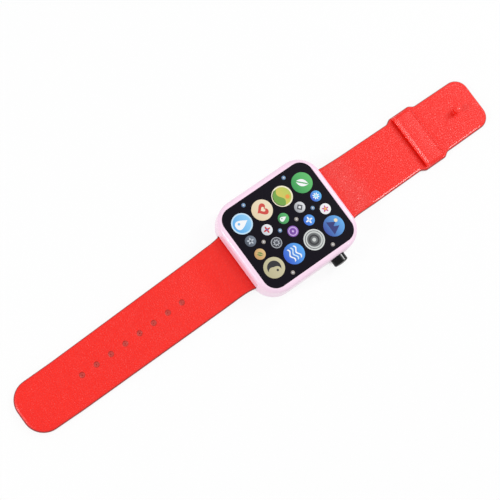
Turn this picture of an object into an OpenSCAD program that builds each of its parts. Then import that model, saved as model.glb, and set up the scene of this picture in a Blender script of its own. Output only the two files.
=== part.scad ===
// Toy wrist watch: a square case with a printed face, and a soft strap in two halves.
// Millimetres. The origin is under the middle of the case, on the table that the watch lies on.
// X runs along the strap, towards the half with the keeper and the stud.
// Y runs across the strap, and the crown is on the -Y side. Z is up.

/* [Case] */
// Length of the case along the strap
case_len = 42; // [40:0.5:48]
// Width of the case across the strap
case_wid = 36.5; // [35:0.5:43]
// Height of the bezel above the table
case_top = 9.6; // [9.2:0.1:12]
// Radius of the case corners seen from above
case_corner = 8.5; // [8:0.5:9.5]
// Rounding of the upper edge
case_edge_r = 1.6; // [1:0.1:2]
// Rounding of the lower edge
case_foot_r = 1.4; // [1:0.1:1.6]
// Height of the lower rim above the table
case_lift = 0.5; // [0.3:0.1:0.8]
// Thickness of the long side walls
side_wall = 2.9; // [2.6:0.1:3.2]
// Thickness of the wall between the inside and each strap slot
end_wall = 1.6; // [1.4:0.1:2]
// Thickness of the lip over each strap slot
lip_t = 1; // [0.8:0.1:1.2]
// Corner radius of the inside
cavity_corner = 1.2; // [0.8:0.1:1.6]
// Radius of the four screw bosses
boss_r = 1.7; // [1.5:0.1:1.9]
// Distance of the boss centres from the inside walls
boss_inset = 1; // [0.8:0.1:1.2]

/* [Face] */
// Width of the bezel at the strap ends
bezel_end = 2.2; // [1.6:0.1:3]
// Width of the bezel along the long sides
bezel_side = 2.05; // [1.8:0.05:3]
// Corner radius of the face
face_corner = 4.7; // [4.5:0.1:5.5]
// How far the face lies below the bezel
face_sunk = 0.2; // [0.1:0.05:0.4]
// Thickness of the printed film
film_t = 0.15; // [0.1:0.05:0.25]
// Thickness of the clear window under the film
lens_t = 1.2; // [1:0.1:1.4]
// Gap round the window
lens_gap = 0.1; // [0.05:0.05:0.2]
// Thickness of the adhesive tape
tape_t = 0.15; // [0.1:0.05:0.25]
// Width of the adhesive tape
tape_w = 2; // [1.5:0.1:2.5]
// How far the tape stays inside the edge of the window
tape_inset = 0.4; // [0.2:0.1:0.6]
// Thickness of the ledge that the window lies on
ledge_t = 0.9; // [0.7:0.1:1.1]
// Width of the light opening in the ledge
light_wid = 22; // [20:0.5:24]
// Rim of the ledge between the board pads and the light opening
pad_margin = 0.5; // [0.3:0.1:1]

/* [Back cover] */
// Thickness of the back cover
cover_t = 1.3; // [1.1:0.1:1.5]
// Width of the ledge that the back cover lies on
cover_ledge = 0.8; // [0.6:0.1:1]
// Gap round the back cover
cover_gap = 0.15; // [0.1:0.05:0.25]
// Bevel on the outer edge of the back cover
cover_bevel = 0.4; // [0.2:0.1:0.6]
// Diameter of the back screws
screw_d = 1.2; // [1:0.1:1.4]
// Length of a back screw under its head
screw_len = 3.6; // [3:0.2:4.2]
// Diameter of the screw heads
screw_head_d = 2; // [1.8:0.1:2.2]
// Height of the screw heads
screw_head_t = 0.6; // [0.4:0.1:0.7]
// Width of the cross slot in the screw heads
screw_slot_w = 0.3; // [0.2:0.05:0.4]
// Gap between a screw and its hole
screw_gap = 0.05; // [0.03:0.01:0.1]

/* [Strap] */
// Width of the strap in the case slots
lug_wid = 22; // [21:0.5:23]
// How far each edge draws in along the flare outside the case
flare_step = 0.5; // [0.3:0.1:1]
// How much narrower the holed half is at its tip than after the flare
long_taper = 1.9; // [0.5:0.1:2.5]
// How much narrower the keeper half is at its tip than after the flare
short_taper = 1.1; // [0.5:0.1:2.5]
// How far the tip of the holed half leans to the -Y side, as the soft strap lies
long_lean = 1.4; // [-3:0.1:3]
// Thickness of the strap
strap_t = 2; // [1.8:0.1:2.2]
// Length of the flare between the case and the full taper
flare_len = 5; // [4:0.5:7]
// Radius of the two bends that bring the strap down to the table
drop_r = 24; // [20:1:30]
// Straight length between the case end and the first bend
drop_lead = 0.6; // [0.4:0.1:2]
// Distance from the case centre to the tip of the holed half
long_reach = 111; // [106:1:118]
// Corner radius at the tip of the holed half
long_tip_r = 7.5; // [5:0.5:9]
// Distance from the case centre to the tip of the keeper half
short_reach = 87.2; // [84:0.2:92]
// Corner radius at the tip of the keeper half
short_tip_r = 5; // [3:0.5:8]

/* [Strap holes] */
// Number of holes
hole_count = 8; // [5:1:9]
// Diameter of the holes
hole_d = 2; // [1.8:0.1:2.4]
// Distance between holes
hole_pitch = 6; // [5:0.5:6.5]
// Distance from the case centre to the first hole
hole_first = 44.4; // [42:0.2:50]

/* [Keeper] */
// Distance from the keeper to the tip of its strap half
keeper_to_tip = 23.1; // [21:0.1:26]
// Length of the keeper along the strap
keeper_len = 8; // [7:0.5:10]
// Height of the keeper opening
keeper_gap_h = 2.2; // [2:0.1:2.6]
// Gap on each side between the keeper and the strap tip inside it
keeper_side_gap = 0.4; // [0.2:0.1:0.6]
// Thickness of the keeper sides
keeper_side = 1.4; // [1.2:0.1:1.6]
// Thickness of the keeper bridge
keeper_bridge_t = 0.8; // [0.7:0.1:1.2]
// How deep the strap is hollowed under the keeper
keeper_sunk = 0.5; // [0.3:0.1:0.6]
// Rounding along the upper edges of the keeper
keeper_round = 1.1; // [0.6:0.1:1.3]
// Length of the run where the strap widens into the keeper
keeper_ramp = 2.6; // [2:0.2:4]
// Radius of the bead along the near edge of the keeper
keeper_bead_r = 0.5; // [0.4:0.05:0.6]

/* [Stud] */
// Distance from the stud to the tip of its strap half
stud_to_tip = 9.4; // [8:0.1:11]
// Diameter of the stud shank
stud_d = 1.8; // [1.5:0.1:2]
// Length of the stud shank above the strap
stud_len = 2; // [1.6:0.1:2.4]
// Diameter of the stud head
stud_head_d = 2.7; // [2.4:0.1:3.2]
// Height of the stud head
stud_head_t = 0.9; // [0.6:0.1:1.2]

/* [Spring bars] */
// Distance from the case end to the bar axis
bar_inset = 2.8; // [2.6:0.1:3.4]
// Height of the bar axis above the table
bar_z = 2.8; // [2.6:0.1:3]
// Diameter of the bar tube
bar_d = 1.6; // [1.5:0.05:1.7]
// Radial gap between the tube and the strap
bar_fit = 0.05; // [0.03:0.01:0.1]
// Thickness of the strap round the bar
knuckle_wall = 1.05; // [0.9:0.05:1.2]
// Gap between the strap and the roof and back of its slot
slot_gap = 0.4; // [0.3:0.05:0.6]
// Gap on each side between the strap and its slot
slot_side_gap = 0.2; // [0.1:0.05:0.3]
// Gap between the strap and the lip of the slot
lip_gap = 0.7; // [0.6:0.05:0.9]
// Bore of the bar tube
bar_bore = 1.1; // [1:0.05:1.2]
// Gap between the tube end and the collar of the tip at full stroke
bar_end_gap = 0.1; // [0.05:0.05:0.3]
// Stroke of each bar tip
tip_stroke = 1.4; // [1.3:0.1:1.6]
// Diameter of the pivot at the end of each tip
pivot_d = 0.8; // [0.7:0.05:0.9]
// Length that each pivot reaches into the case
pivot_grip = 1.3; // [1.1:0.1:1.3]
// Radial gap between a pivot and its hole
pivot_fit = 0.08; // [0.05:0.01:0.1]
// Depth of the hole beyond the pivot
pivot_room = 0.3; // [0.2:0.1:0.5]
// Thickness of the collar on each tip
collar_t = 0.3; // [0.2:0.05:0.4]
// Radial gap between the collar and the strap
collar_fit = 0.1; // [0.05:0.01:0.15]
// Length of the tip shank inside the tube at rest
shank_grip = 2.7; // [2.2:0.1:3.5]
// Radial gap between the tip shank and the tube bore
shank_fit = 0.05; // [0.03:0.01:0.08]
// Wire diameter of the spring in the tube
bar_wire_d = 0.2; // [0.15:0.01:0.25]
// Number of turns of the spring in the tube
bar_spring_turns = 9; // [6:1:12]

/* [Crown] */
// Distance from the case end to the crown axis
crown_inset = 12.1; // [11.8:0.1:14]
// Distance from the window ledge down to the crown axis
crown_drop = 2.6; // [2.4:0.1:2.8]
// Diameter of the crown
crown_d = 5.4; // [5:0.1:6]
// How far the crown rim stands out from the case
crown_proud = 2.7; // [1.8:0.1:3]
// Height of the domed end of the crown
crown_dome = 0.3; // [0.3:0.1:0.8]
// Bevel round the crown rim
crown_bevel = 0.35; // [0.2:0.05:0.5]
// Stroke of the crown
crown_stroke = 0.6; // [0.4:0.05:0.6]
// Room under the crown at the end of its stroke
crown_floor_gap = 0.05; // [0.03:0.01:0.1]
// How far the crown sits inside its recess at rest
crown_seat = 0.25; // [0.15:0.05:0.4]
// Radial gap between the crown and its recess
crown_gap = 0.15; // [0.1:0.05:0.25]
// Diameter of the crown stem
stem_d = 2; // [1.8:0.1:2.1]
// Radial gap between the stem and its bore
stem_fit = 0.05; // [0.03:0.01:0.1]
// Diameter of the pocket for the crown spring
spring_pocket_d = 3.4; // [3.2:0.1:3.6]
// Depth of the spring pocket below the crown recess
spring_pocket_depth = 1.2; // [1:0.1:1.3]
// Depth of the spring cup inside the crown
spring_cup_depth = 1.2; // [1:0.1:1.4]
// Wire diameter of the crown spring
spring_wire_d = 0.3; // [0.25:0.01:0.35]
// Number of turns of the crown spring
spring_turns = 3.5; // [3:0.5:4]
// Gap between the crown spring and its pocket
spring_gap = 0.12; // [0.08:0.02:0.2]
// Outer diameter of the retaining clip
clip_d = 3; // [2.8:0.1:3.2]
// Thickness of the retaining clip
clip_t = 0.3; // [0.25:0.05:0.35]
// Depth of the groove for the clip
clip_groove = 0.3; // [0.2:0.05:0.35]
// Gap between the clip and the parts round it
clip_gap = 0.05; // [0.03:0.01:0.08]
// Length of the stem inside the clip
stem_end = 0.5; // [0.4:0.1:0.7]

/* [Button switch] */
// Width of the switch body
switch_wid = 3.6; // [3.2:0.1:3.8]
// Depth of the switch body
switch_depth = 2.4; // [2.2:0.1:2.8]
// Height of the switch body below the crown axis
switch_drop = 1.6; // [1.4:0.1:1.8]
// Diameter of the switch plunger
plunger_d = 1.6; // [1.4:0.1:1.8]
// Length of the plunger that shows at rest
plunger_out = 1; // [0.8:0.1:1.2]
// Length of the plunger inside the switch at rest
plunger_in = 1.1; // [0.9:0.1:1.2]
// Radial gap between the plunger and the switch
plunger_fit = 0.05; // [0.03:0.01:0.1]
// Gap between the crown stem and the plunger
plunger_gap = 0.1; // [0.05:0.05:0.2]

/* [Movement] */
// Thickness of the circuit board
board_t = 0.8; // [0.6:0.1:0.9]
// Gap between the circuit board and the ledge above it
board_pad = 0.3; // [0.2:0.1:0.4]
// Gap between the board or frame and the inside walls
module_gap = 0.2; // [0.15:0.05:0.3]
// Gap between the board or frame and the screw bosses
boss_gap = 0.25; // [0.2:0.05:0.4]
// Distance of the two board screws from the inside walls
board_screw_inset = 2.2; // [2:0.1:2.6]
// Position of the two board screws across the case
board_screw_y = -6; // [-7:0.5:-4]
// Length of a board screw under its head
board_screw_len = 1.9; // [1.6:0.1:2]
// Radius of the pads above the board screws
pad_r = 1.3; // [1.2:0.1:1.4]
// Gap between the light-up display and each end of the light opening
display_gap = 1; // [0.5:0.1:2]
// Width of the light-up display
display_wid = 8; // [7:0.5:9]
// Height of the light-up display
display_t = 1.1; // [0.9:0.1:1.2]
// Position of the display across the case
display_y = 3; // [2:0.5:4]
// Radius of the sealed chip
chip_r = 2.6; // [2:0.1:2.8]
// Height of the sealed chip
chip_t = 0.9; // [0.6:0.1:1]
// Diameter of the crystal can
crystal_d = 1.1; // [0.9:0.1:1.2]
// Length of the crystal can
crystal_len = 5; // [4:0.5:5.5]
// Length, width and height of a chip resistor
resistor = [1.6, 0.8, 0.5]; // [0.3:0.1:2]
// Distance between chip resistors
resistor_step = 2.2; // [1.8:0.1:2.6]
// Width of the rim round the display and between its digits
display_rim = 0.8; // [0.5:0.1:1]
// Depth of the digit wells in the display
digit_well = 0.2; // [0.1:0.05:0.4]

/* [Cell] */
// Diameter of the coin cell
cell_d = 16; // [14:0.5:18]
// Thickness of the coin cell
cell_t = 2; // [1.6:0.1:2.6]
// Position of the cell along the case
cell_x = -1; // [-2:0.1:0]
// Position of the cell across the case
cell_y = 1.5; // [0.5:0.1:2.5]
// Height of the step on the negative side of the cell
cell_step = 0.3; // [0.2:0.1:0.5]
// Width of the step on the negative side of the cell
cell_rim = 1.4; // [1:0.1:2]
// Bevel round the positive side of the cell
cell_bevel = 0.3; // [0.2:0.1:0.5]
// Gap round the cell
cell_gap = 0.2; // [0.15:0.05:0.3]
// Gap between the cell and the back cover
cell_lift = 0.1; // [0.05:0.05:0.2]
// Width of the two battery contacts
contact_wid = 3; // [2:0.2:4]
// Thickness of the contact strip
contact_t = 0.2; // [0.15:0.05:0.25]
// Reach of the negative contact on each side of the cell centre
leaf_reach = 5.5; // [4.5:0.5:6.5]
// Length of the foot of the positive contact
clip_foot = 1.8; // [1.4:0.1:2.4]

/* [Hidden] */
$fn = 64;
// Extra length of a cut past the face that it opens
cut = 1;
// Fine round of the large radii
bend_fn = 180;
// Flat steps that make up each bend of the strap
bend_steps = 8;
// Flat steps in each turn of a spring
coil_steps = 14;
// Flat sides of a spring wire
wire_sides = 6;

// Face
face_len = case_len - 2 * bezel_end;
face_wid = case_wid - 2 * bezel_side;

// Heights
ledge_top = case_top - face_sunk - film_t - lens_t - tape_t;
ledge_low = ledge_top - ledge_t;
board_top = ledge_low - board_pad;
board_low = board_top - board_t;
cell_low = cover_t + cell_lift;
cell_high = cell_low + cell_t;

// Spring bars and slots
bar_x = case_len / 2 - bar_inset;
knuckle_bore = bar_d / 2 + bar_fit;
knuckle_r = knuckle_bore + knuckle_wall;
slot_back = bar_x - knuckle_r - slot_gap;
slot_roof = bar_z + knuckle_r + slot_gap;
slot_half = lug_wid / 2 + slot_side_gap;
lip_z = bar_z + strap_t / 2 + lip_gap;
lip_x = case_len / 2 - lip_t;
pivot_end = slot_half + pivot_grip;
collar_in = lug_wid / 2 - collar_t;
bar_half = collar_in - tip_stroke - bar_end_gap;
shank_in = bar_half - shank_grip;

// Inside of the case
cavity_hx = slot_back - end_wall;
cavity_hy = case_wid / 2 - side_wall;
boss_x = cavity_hx - boss_inset;
boss_y = cavity_hy - boss_inset;
recess_corner = cavity_corner + cover_ledge;
cover_hx = cavity_hx + cover_ledge - cover_gap;
cover_hy = cavity_hy + cover_ledge - cover_gap;
head_room = 2 * screw_gap;

// Places on the board
board_screw_x = cavity_hx - board_screw_inset;
light_len = 2 * (board_screw_x - pad_r - pad_margin);
display_len = light_len - 2 * display_gap;
parts_y = (display_y - display_wid / 2 - light_wid / 2) / 2;
clip_reach = cell_d / 2 + cell_gap + clip_foot;

// Strap
strap_wid = lug_wid - 2 * flare_step;
tip_wid = strap_wid - long_taper;
lead_x = case_len / 2 + drop_lead;
drop = bar_z - strap_t / 2;
bend_angle = acos(1 - drop / (2 * drop_r));
flat_x = lead_x + 2 * drop_r * sin(bend_angle);
flare_x = case_len / 2 + flare_len;
flare_r = (flare_len * flare_len + flare_step * flare_step) / (2 * flare_step);
lean_x = flare_x + strap_t;
lean_end = hole_first + hole_count * hole_pitch;
stud_x = short_reach - stud_to_tip;

// Keeper
keeper_in = tip_wid / 2 + keeper_side_gap;
keeper_out = keeper_in + keeper_side;
keeper_floor = strap_t - keeper_sunk;
keeper_roof = keeper_floor + keeper_gap_h;
keeper_top = keeper_roof + keeper_bridge_t;
keeper_end = short_reach - keeper_to_tip;
keeper_x = keeper_end - keeper_len;

// Crown, measured outwards from the side of the case
crown_x = case_len / 2 - crown_inset;
crown_z = ledge_low - crown_drop;
crown_low = -crown_seat;
recess_floor = crown_low - crown_stroke - crown_floor_gap;
pocket_floor = recess_floor - spring_pocket_depth;
cup_roof = crown_low + spring_cup_depth;
clip_face = -side_wall - clip_gap;
stem_low = clip_face - clip_t - stem_end;

// Switch
plunger_tip_y = -case_wid / 2 - stem_low + plunger_gap;
switch_face_y = plunger_tip_y + plunger_out;
switch_back_y = switch_face_y + switch_depth;

// Shared shapes

// Rectangle with round corners, about the origin
module round_rect(len_x, len_y, r) {
    square([len_x - 2 * r, len_y], center = true);
    square([len_x, len_y - 2 * r], center = true);
    for (sx = [-1, 1], sy = [-1, 1])
        translate([sx * (len_x / 2 - r), sy * (len_y / 2 - r)])
            circle(r);
}

// Block with round corners seen from above
module round_block(len_x, len_y, r, low, high) {
    translate([0, 0, low])
        linear_extrude(high - low)
            round_rect(len_x, len_y, r);
}

// Wall section from the corner axis outwards, rounded below and above
module wall_section(width, low, high, low_r, high_r) {
    translate([0, low + low_r])
        square([width, high - low - low_r - high_r]);
    translate([0, low])
        square([width - low_r, low_r]);
    translate([0, high - high_r])
        square([width - high_r, high_r]);
    translate([width - low_r, low + low_r])
        circle(low_r);
    translate([width - high_r, high - high_r])
        circle(high_r);
}

// The wall section, cut off at the corner axis
module corner_section(width, low, high, low_r, high_r) {
    intersection() {
        wall_section(width, low, high, low_r, high_r);
        translate([0, low])
            square([width, high - low]);
    }
}

// Block with round corners whose long edges are rounded all the way round
module soft_block(len_x, len_y, corner, low, high, low_r, high_r) {
    run_x = len_x - 2 * corner;
    run_y = len_y - 2 * corner;
    translate([-run_x / 2, -run_y / 2, low])
        cube([run_x, run_y, high - low]);
    for (i = [0 : 3])
        rotate([0, 0, 90 * i]) {
            out = i % 2 == 0 ? run_x / 2 : run_y / 2;
            side = i % 2 == 0 ? run_y / 2 : run_x / 2;
            translate([out, side, 0])
                rotate_extrude(angle = 90)
                    corner_section(corner, low, high, low_r, high_r);
            translate([out, 0, 0])
                rotate([90, 0, 0])
                    linear_extrude(2 * side, center = true)
                        corner_section(corner, low, high, low_r, high_r);
        }
}

// Coil of wire along Z, from the middle of its first ring to the middle of its last
module coil(mean_r, wire_d, length, turns) {
    sides = wire_sides;
    rings = round(turns * coil_steps);
    verts = [
        for (i = [0 : rings], j = [0 : sides - 1])
            let (
                turn = 360 * turns * i / rings,
                around = 360 * j / sides,
                reach = mean_r + wire_d / 2 * cos(around)
            )
            [reach * cos(turn), reach * sin(turn), length * i / rings + wire_d / 2 * sin(around)]
    ];
    skin = [
        for (i = [0 : rings - 1], j = [0 : sides - 1])
            let (k = (j + 1) % sides, a = i * sides, b = a + sides)
            each [[a + j, b + j, b + k], [a + j, b + k, a + k]]
    ];
    last = rings * sides;
    caps = [
        for (j = [1 : sides - 2])
            each [[0, j, j + 1], [last, last + j + 1, last + j]]
    ];
    polyhedron(verts, concat(skin, caps));
}

// Cross-head screw, head down, its head face at the origin
module screw(length) {
    difference() {
        cylinder(d = screw_head_d, h = screw_head_t);
        for (turn = [0, 90])
            rotate([0, 0, turn])
                translate([-screw_head_d, -screw_slot_w / 2, -screw_head_t / 2])
                    cube([2 * screw_head_d, screw_slot_w, screw_head_t]);
    }
    translate([0, 0, screw_head_t])
        cylinder(d = screw_d, h = length);
}

// Places for the four back screws
module at_bosses() {
    for (sx = [-1, 1], sy = [-1, 1])
        translate([sx * boss_x, sy * boss_y, 0])
            children();
}

// Places for the two board screws
module at_board_screws() {
    for (sx = [-1, 1])
        translate([sx * board_screw_x, board_screw_y, 0])
            children();
}

// Crown axis, with Z pointing outwards from the side of the case
module at_crown() {
    translate([crown_x, -case_wid / 2, crown_z])
        rotate([90, 0, 0])
            children();
}

// Case

// Slot for one strap end, seen from the side
module slot_section() {
    translate([slot_back, case_lift - cut])
        square([lip_x - slot_back, slot_roof - case_lift + cut]);
    translate([lip_x - cut, case_lift - cut])
        square([lip_t + 2 * cut, lip_z - case_lift + cut]);
}

// Slot and pivot holes for one strap end
module strap_slot() {
    rotate([90, 0, 0])
        linear_extrude(2 * slot_half, center = true)
            slot_section();
    translate([bar_x, 0, bar_z])
        rotate([90, 0, 0])
            cylinder(r = pivot_d / 2 + pivot_fit, h = 2 * (pivot_end + pivot_room), center = true);
}

// Recess, spring pocket and bore for the crown
module crown_cut() {
    translate([0, 0, recess_floor])
        cylinder(r = crown_d / 2 + crown_gap, h = cut - recess_floor);
    translate([0, 0, pocket_floor])
        cylinder(d = spring_pocket_d, h = cut + spring_pocket_depth);
    translate([0, 0, -side_wall - cut])
        cylinder(r = stem_d / 2 + stem_fit, h = side_wall + cut);
}

// Moulded case with its bezel, window ledge, strap slots and screw bosses
module case_shell() {
    color("pink")
        difference() {
            union() {
                difference() {
                    soft_block(
                        case_len, case_wid, case_corner, case_lift, case_top, case_foot_r, case_edge_r
                    );
                    round_block(2 * cavity_hx, 2 * cavity_hy, cavity_corner, case_lift - cut, ledge_low);
                }
                at_bosses()
                    translate([0, 0, cover_t])
                        cylinder(r = boss_r, h = ledge_low - cover_t);
                at_board_screws()
                    translate([0, 0, board_top])
                        cylinder(r = pad_r, h = board_pad + ledge_t / 2);
            }
            round_block(
                2 * (cavity_hx + cover_ledge), 2 * (cavity_hy + cover_ledge), recess_corner,
                case_lift - cut, cover_t
            );
            round_block(
                face_len + 2 * lens_gap, face_wid + 2 * lens_gap, face_corner + lens_gap,
                ledge_top, case_top + cut
            );
            round_block(light_len, light_wid, cavity_corner, ledge_low - cut, ledge_top + cut);
            at_bosses()
                cylinder(r = screw_d / 2 + screw_gap, h = screw_head_t + screw_len + cut);
            at_board_screws()
                cylinder(r = screw_d / 2 + screw_gap, h = board_low + board_screw_len + head_room);
            for (end = [0, 180])
                rotate([0, 0, end])
                    strap_slot();
            at_crown()
                crown_cut();
        }
}

// Plain back cover with bevelled edge and sunk screw holes
module back_cover() {
    color("lightpink")
        difference() {
            union() {
                round_block(
                    2 * (cover_hx - cover_bevel), 2 * (cover_hy - cover_bevel),
                    recess_corner - cover_gap - cover_bevel, 0, cover_bevel
                );
                round_block(2 * cover_hx, 2 * cover_hy, recess_corner - cover_gap, cover_bevel, cover_t);
            }
            at_bosses() {
                translate([0, 0, -cut])
                    cylinder(r = screw_d / 2 + screw_gap, h = cover_t + 2 * cut);
                translate([0, 0, -cut])
                    cylinder(r = screw_head_d / 2 + head_room, h = cut + screw_head_t + head_room);
            }
        }
}

// Four screws that hold the back cover
module back_screws() {
    color("silver")
        at_bosses()
            translate([0, 0, head_room])
                screw(screw_len);
}

// Face

// Printed film that shows as the black face
module face_film() {
    color([0.1, 0.1, 0.12])
        round_block(face_len, face_wid, face_corner, ledge_top + tape_t + lens_t, case_top - face_sunk);
}

// Smoked window under the film
module face_window() {
    color([0.25, 0.22, 0.24])
        round_block(face_len, face_wid, face_corner, ledge_top + tape_t, ledge_top + tape_t + lens_t);
}

// Ring of tape between the window and its ledge
module window_tape() {
    tape_len = face_len - 2 * tape_inset;
    tape_wid = face_wid - 2 * tape_inset;
    tape_corner = face_corner - tape_inset;
    color("dimgray")
        difference() {
            round_block(tape_len, tape_wid, tape_corner, ledge_top, ledge_top + tape_t);
            round_block(
                tape_len - 2 * tape_w, tape_wid - 2 * tape_w, tape_corner - tape_w,
                ledge_top - cut, ledge_top + cut
            );
        }
}

// Movement

// Outline shared by the board and the frame, cut out round the screw bosses
module module_outline() {
    difference() {
        round_rect(2 * (cavity_hx - module_gap), 2 * (cavity_hy - module_gap), cavity_corner);
        for (sx = [-1, 1], sy = [-1, 1])
            translate([sx * boss_x, sy * boss_y])
                circle(boss_r + boss_gap);
    }
}

// Notch at the crown, as wide as given, that reaches in to the given place
module crown_notch(width, inner_y) {
    translate([crown_x - width / 2, -case_wid / 2])
        square([width, inner_y + case_wid / 2]);
}

// Moulded frame that carries the cell under the board
module movement_frame() {
    leaf_room = contact_wid + 2 * module_gap;
    color("whitesmoke")
        difference() {
            translate([0, 0, cover_t])
                linear_extrude(board_low - cover_t)
                    difference() {
                        module_outline();
                        crown_notch(switch_wid + 2 * module_gap, switch_back_y + module_gap);
                    }
            translate([cell_x, cell_y, cover_t - cut])
                cylinder(r = cell_d / 2 + cell_gap, h = cell_high + cell_gap - cover_t + cut);
            translate([cell_x - leaf_reach, cell_y - leaf_room / 2, cover_t + cell_t])
                cube([2 * leaf_reach, leaf_room, board_low]);
            translate([cell_x, cell_y - leaf_room / 2, cover_t - cut])
                cube([clip_reach, leaf_room, board_low]);
            at_board_screws()
                translate([0, 0, cover_t - cut])
                    cylinder(r = screw_head_d / 2 + module_gap, h = board_low);
        }
}

// Circuit board
module circuit_board() {
    notch_in = -case_wid / 2 - stem_low + plunger_gap + crown_stroke;
    color("seagreen")
        translate([0, 0, board_low])
            difference() {
                linear_extrude(board_t)
                    difference() {
                        module_outline();
                        crown_notch(clip_d + 2 * module_gap, notch_in);
                    }
                at_board_screws()
                    translate([0, 0, -cut])
                        cylinder(r = screw_d / 2 + screw_gap, h = board_t + 2 * cut);
            }
}

// Two screws that hold the board under the ledge
module board_screws() {
    color("silver")
        at_board_screws()
            translate([0, 0, board_low - screw_head_t])
                screw(board_screw_len);
}

// Light-up display with four digit cells
module led_display() {
    digits = 4;
    digit_step = (display_len - display_rim) / digits;
    digit = [digit_step - display_rim, display_wid - 2 * display_rim, digit_well + cut];
    color("ivory")
        translate([-display_len / 2, display_y - display_wid / 2, board_top])
            difference() {
                cube([display_len, display_wid, display_t]);
                for (i = [0 : digits - 1])
                    translate([display_rim + i * digit_step, display_rim, display_t - digit_well])
                        cube(digit);
            }
}

// Sealed chip, a low dome
module chip_blob() {
    dome_r = (chip_r * chip_r + chip_t * chip_t) / (2 * chip_t);
    color([0.08, 0.08, 0.08])
        translate([-light_len / 4, parts_y, board_top])
            intersection() {
                translate([0, 0, chip_t - dome_r])
                    sphere(dome_r);
                cylinder(r = 2 * chip_r, h = chip_t);
            }
}

// Crystal can, lying on the board
module crystal_can() {
    color("gainsboro")
        translate([light_len / 4 - crystal_len / 2, parts_y, board_top + crystal_d / 2])
            rotate([0, 90, 0])
                cylinder(d = crystal_d, h = crystal_len);
}

// Row of three chip resistors
module board_resistors() {
    row_y = parts_y - crystal_d - 2 * resistor.y;
    color([0.15, 0.15, 0.15])
        for (i = [-1 : 1])
            translate([light_len / 4 + i * resistor_step - resistor.x / 2, row_y, board_top])
                cube(resistor);
}

// Switch behind the crown
module button_switch() {
    low = crown_z - switch_drop;
    depth = plunger_in + crown_stroke + plunger_gap;
    color([0.2, 0.2, 0.22])
        difference() {
            translate([crown_x - switch_wid / 2, switch_face_y, low])
                cube([switch_wid, switch_depth, board_low - low]);
            translate([crown_x, switch_face_y - cut, crown_z])
                rotate([-90, 0, 0])
                    cylinder(r = plunger_d / 2 + plunger_fit, h = cut + depth);
        }
}

// Plunger of the switch
module switch_plunger() {
    color("ivory")
        translate([crown_x, plunger_tip_y, crown_z])
            rotate([-90, 0, 0])
                cylinder(d = plunger_d, h = plunger_out + plunger_in);
}

// Crown

// Cap of the crown: bevelled rim, domed end and a cup for the spring
module crown_cap() {
    rim_r = crown_d / 2;
    end_r = rim_r - crown_bevel;
    rim = crown_proud - crown_bevel;
    dome_r = (end_r * end_r + crown_dome * crown_dome) / (2 * crown_dome);
    difference() {
        union() {
            translate([0, 0, crown_low])
                cylinder(r = rim_r, h = rim - crown_low);
            translate([0, 0, rim])
                cylinder(r1 = rim_r, r2 = end_r, h = crown_bevel);
            intersection() {
                translate([0, 0, crown_proud + crown_dome - dome_r])
                    sphere(dome_r, $fn = bend_fn);
                translate([0, 0, crown_proud])
                    cylinder(r = rim_r, h = crown_dome);
            }
        }
        translate([0, 0, crown_low - cut])
            cylinder(d = spring_pocket_d, h = spring_cup_depth + cut);
    }
}

// Stem of the crown with its clip groove
module crown_stem() {
    difference() {
        translate([0, 0, stem_low])
            cylinder(d = stem_d, h = cup_roof - stem_low);
        translate([0, 0, clip_face - clip_t - clip_gap])
            difference() {
                cylinder(r = stem_d, h = clip_t + 2 * clip_gap);
                translate([0, 0, -cut])
                    cylinder(r = stem_d / 2 - clip_groove, h = clip_t + 2 * clip_gap + 2 * cut);
            }
    }
}

// Push-button crown
module crown_button() {
    color([0.07, 0.07, 0.08])
        at_crown() {
            crown_cap();
            crown_stem();
        }
}

// Spring between the crown and the case
module crown_spring() {
    room = cup_roof - pocket_floor - spring_wire_d - 2 * spring_gap;
    mean_r = spring_pocket_d / 2 - spring_gap - spring_wire_d / 2;
    color("silver")
        at_crown()
            translate([0, 0, pocket_floor + spring_gap + spring_wire_d / 2])
                coil(mean_r, spring_wire_d, room, spring_turns);
}

// Open clip in the groove of the stem
module crown_clip() {
    slot = stem_d - 2 * clip_groove;
    color("silver")
        at_crown()
            translate([0, 0, clip_face - clip_t])
                difference() {
                    cylinder(d = clip_d, h = clip_t);
                    translate([0, 0, -cut])
                        cylinder(r = stem_d / 2 - clip_groove + clip_gap, h = clip_t + 2 * cut);
                    translate([-slot / 2, 0, -cut])
                        cube([slot, clip_d, clip_t + 2 * cut]);
                }
}

// Cell and contacts

// Coin cell with its stepped negative side
module coin_cell() {
    color("lightgray")
        translate([cell_x, cell_y, cell_low]) {
            cylinder(d1 = cell_d - 2 * cell_bevel, d2 = cell_d, h = cell_bevel);
            translate([0, 0, cell_bevel])
                cylinder(d = cell_d, h = cell_t - cell_step - cell_bevel);
            translate([0, 0, cell_t - cell_step])
                cylinder(d = cell_d - 2 * cell_rim, h = cell_step);
        }
}

// Bent strip seen from the side, given the line of its upper face
module strip(line) {
    polygon(concat(line, [for (i = [len(line) - 1 : -1 : 0]) line[i] - [0, contact_t]]));
}

// Leaf that presses on the middle of the cell
module contact_negative() {
    foot = leaf_reach - module_gap;
    touch = cell_high + contact_t;
    line = [[foot, board_low], [foot / 3, board_low], [-foot / 2, touch], [-foot, touch + contact_t]];
    color("goldenrod")
        translate([cell_x, cell_y, 0])
            rotate([90, 0, 0])
                linear_extrude(contact_wid, center = true)
                    strip(line);
}

// Clip that presses on the side of the cell
module contact_positive() {
    side = cell_d / 2 + cell_gap / 2;
    foot = clip_reach - module_gap;
    low = cell_low + cell_t / 4;
    color("goldenrod")
        translate([cell_x, cell_y, 0])
            rotate([90, 0, 0])
                linear_extrude(contact_wid, center = true) {
                    translate([side + contact_t, board_low - contact_t])
                        square([foot - side - contact_t, contact_t]);
                    translate([side, low])
                        square([contact_t, board_low - low]);
                }
}

// Strap

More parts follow.
